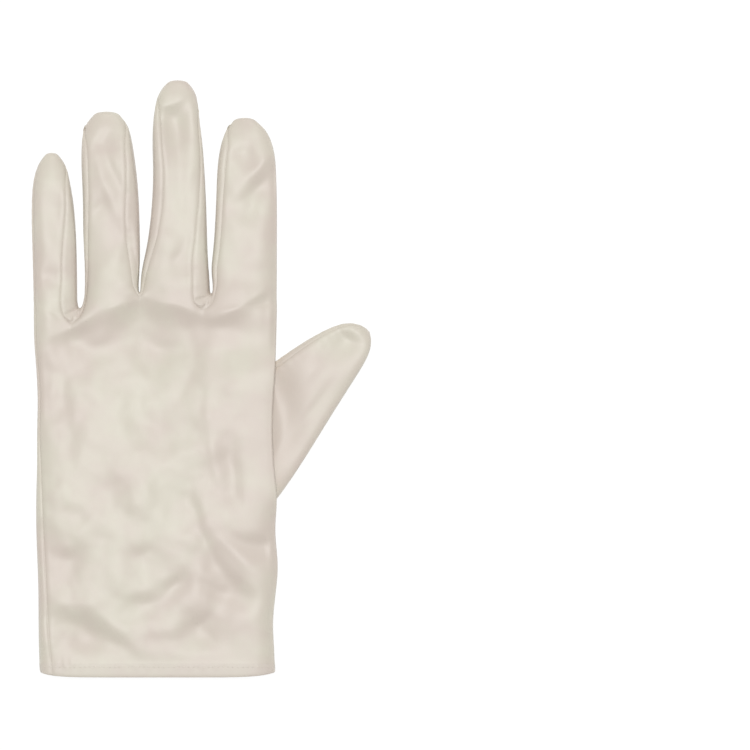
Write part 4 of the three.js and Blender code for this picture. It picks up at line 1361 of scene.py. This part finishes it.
# %% Group for the satin's threads
THREAD_STRETCH = (1, 0.14, 1)
weave, weave_in, weave_out = new_group(
    "satin_threads",
    [("Vector", "NodeSocketVector"), ("Size", "NodeSocketFloat")],
    [("Height", "NodeSocketFloat")],
)
stretch = add_node(weave, "ShaderNodeVectorMath", operation="MULTIPLY")
stretch.inputs[1].default_value = THREAD_STRETCH
floats = add_node(weave, "ShaderNodeTexNoise", Detail=2.0, Roughness=0.5)
cross = add_node(weave, "ShaderNodeTexNoise", Detail=1.0, Roughness=0.5)
both = add_node(weave, "ShaderNodeMath", operation="ADD")
wire(
    weave,
    (weave_in.outputs["Vector"], stretch.inputs[0]),
    (stretch.outputs[0], floats.inputs["Vector"]),
    (weave_in.outputs["Vector"], cross.inputs["Vector"]),
    (weave_in.outputs["Size"], floats.inputs["Scale"]),
    (weave_in.outputs["Size"], cross.inputs["Scale"]),
    (floats.outputs["Fac"], both.inputs[0]),
    (cross.outputs["Fac"], both.inputs[1]),
    (both.outputs[0], weave_out.inputs["Height"]),
)
print(weave.name, len(weave.nodes), "nodes")

# %% Group for the uneven dye
DYE_LOW, DYE_HIGH = 0.38, 0.62
dye, dye_in, dye_out = new_group(
    "uneven_dye",
    [("Vector", "NodeSocketVector"), ("Pale", "NodeSocketColor"), ("Pink", "NodeSocketColor")],
    [("Color", "NodeSocketColor")],
)
patches = add_node(dye, "ShaderNodeTexNoise", Scale=42.0, Detail=3.0, Roughness=0.55)
sharper = add_node(dye, "ShaderNodeMapRange")
sharper.inputs["From Min"].default_value = DYE_LOW
sharper.inputs["From Max"].default_value = DYE_HIGH
blend = add_node(dye, "ShaderNodeMix", data_type="RGBA")
wire(
    dye,
    (dye_in.outputs["Vector"], patches.inputs["Vector"]),
    (patches.outputs["Fac"], sharper.inputs["Value"]),
    (sharper.outputs["Result"], blend.inputs["Factor"]),
    (dye_in.outputs["Pale"], blend.inputs[6]),
    (dye_in.outputs["Pink"], blend.inputs[7]),
    (blend.outputs[2], dye_out.inputs["Color"]),
)
print(dye.name, len(dye.nodes), "nodes")


# %% Satin materials
# painted shade: the base colour turns towards a dark brown along the seams' grooves, by this share at most
PAINTED_SEAM_SHADE_STRENGTH = 0.16


def satin_material(name, pale, pink, painted_seam_shade_colour, roughness):
    material = bpy.data.materials.new(name)
    material.use_nodes = True
    tree = material.node_tree
    shader = tree.nodes["Principled BSDF"]
    shader.inputs["Roughness"].default_value = roughness
    shader.inputs["Specular IOR Level"].default_value = 0.7
    shader.inputs["Sheen Weight"].default_value = 0.06
    shader.inputs["Sheen Roughness"].default_value = 0.4
    shader.inputs["Sheen Tint"].default_value = (1, 0.97, 0.92, 1)
    place = add_node(tree, "ShaderNodeTexCoord")
    colour = add_node(tree, "ShaderNodeGroup", node_tree=dye, Pale=pale, Pink=pink)
    threads = add_node(tree, "ShaderNodeGroup", node_tree=weave, Size=5200.0)
    # the attribute seam says where the painted shade of the seams lies
    painted_shade_mask = add_node(tree, "ShaderNodeAttribute", attribute_name="seam")
    painted_seam_shade_mix = add_node(tree, "ShaderNodeMix", data_type="RGBA")
    painted_seam_shade_mix.inputs[7].default_value = painted_seam_shade_colour
    strength = add_node(tree, "ShaderNodeMath", operation="MULTIPLY")
    strength.inputs[1].default_value = PAINTED_SEAM_SHADE_STRENGTH
    bump = add_node(tree, "ShaderNodeBump", Strength=0.35, Distance=0.00006)
    wire(
        tree,
        (place.outputs["Object"], colour.inputs["Vector"]),
        (place.outputs["Object"], threads.inputs["Vector"]),
        (painted_shade_mask.outputs["Fac"], strength.inputs[0]),
        (strength.outputs[0], painted_seam_shade_mix.inputs["Factor"]),
        (colour.outputs["Color"], painted_seam_shade_mix.inputs[6]),
        (painted_seam_shade_mix.outputs[2], shader.inputs["Base Color"]),
        (threads.outputs["Height"], bump.inputs["Height"]),
        (bump.outputs["Normal"], shader.inputs["Normal"]),
    )
    return material


# pale dye, pink dye, colour of the painted seam shade, roughness
SATINS = {
    "ivory_satin": ((0.672, 0.63, 0.53, 1), (0.652, 0.573, 0.503, 1), (0.42, 0.36, 0.29, 1), 0.45),
    "ivory_hem": ((0.675, 0.625, 0.535, 1), (0.655, 0.58, 0.515, 1), (0.5, 0.44, 0.37, 1), 0.48),
    "ivory_thread": ((0.75, 0.70, 0.61, 1), (0.73, 0.67, 0.59, 1), (0.5, 0.44, 0.37, 1), 0.6),
}
satins = {name: satin_material(name, *values) for name, values in SATINS.items()}
print("materials", *satins)

# %% Finish every piece
finishes = {
    "wrist_hem": ("hem", "ivory_hem"),
    "seam_thread": ("satin", "ivory_thread"),
    "hem_thread": ("hem", "ivory_thread"),
}
for name, piece in {**pieces, "seam_thread": seam_thread, "hem_thread": hem_thread}.items():
    slot, finish = finishes.get(name, ("satin", "ivory_satin"))
    piece.data.materials.clear()
    piece.data.materials.append(satins[finish])
    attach(piece, "root")
print(len(pieces), "pieces and 2 threads")

# %% [markdown]
# ## The flat cuts
#
# Before it is sewn, every piece of the glove is a flat cut of satin. The hand piece wraps round the whole
# hand, and its finger strips are narrower than the fingers, because the fourchettes fill the rest. A
# fourchette is one long strip folded at the crotch, as long as the two finger sides that it joins. The thumb
# is a tube, wide at its root and narrow at its tip.

# %% Flat sizes of the cloth
GLOVE_LENGTH = 230.0
SIDE_WRAP = 0.7
FINGER_STRIP = 0.8
FOURCHETTE_WIDTH = 13.5
FOURCHETTE_TAPER = 0.94
THUMB_LENGTH = 76.0
THUMB_TIP = 16.0
HEM_CUT = 10.6
around = 2 * (WRIST_WIDTH + SIDE_WRAP * HAND_HEIGHT)
finger_strips = 2 * FINGER_STRIP * sum(finger["width"] * finger["length"] for finger in FINGERS)
hand_area = around * (HAND_LENGTH - HEM_DEPTH) + finger_strips
cuts = {
    "hand_piece": (around, GLOVE_LENGTH - HEM_DEPTH, hand_area, "laid", [seam_thread]),
    "thumb": (2 * THUMB_ROOT, THUMB_LENGTH, (THUMB_ROOT + THUMB_TIP) * THUMB_LENGTH, "laid", []),
    "wrist_hem": (HEM_CUT, around, HEM_CUT * around, "folded", [hem_thread]),
}
for k, parting in enumerate(PARTINGS):
    sides = sum(finger["length"] * finger["ends"][0] for finger in FINGERS[k:k + 2])
    area = FOURCHETTE_TAPER * FOURCHETTE_WIDTH * sides
    cuts[parting["strip"]] = (FOURCHETTE_WIDTH, sides, area, "folded", [])
for name, (width, length, area, held, on_it) in cuts.items():
    print(f"{name}: cut {width:.0f} x {length:.0f} mm, {area / 100:.0f} square centimetres")
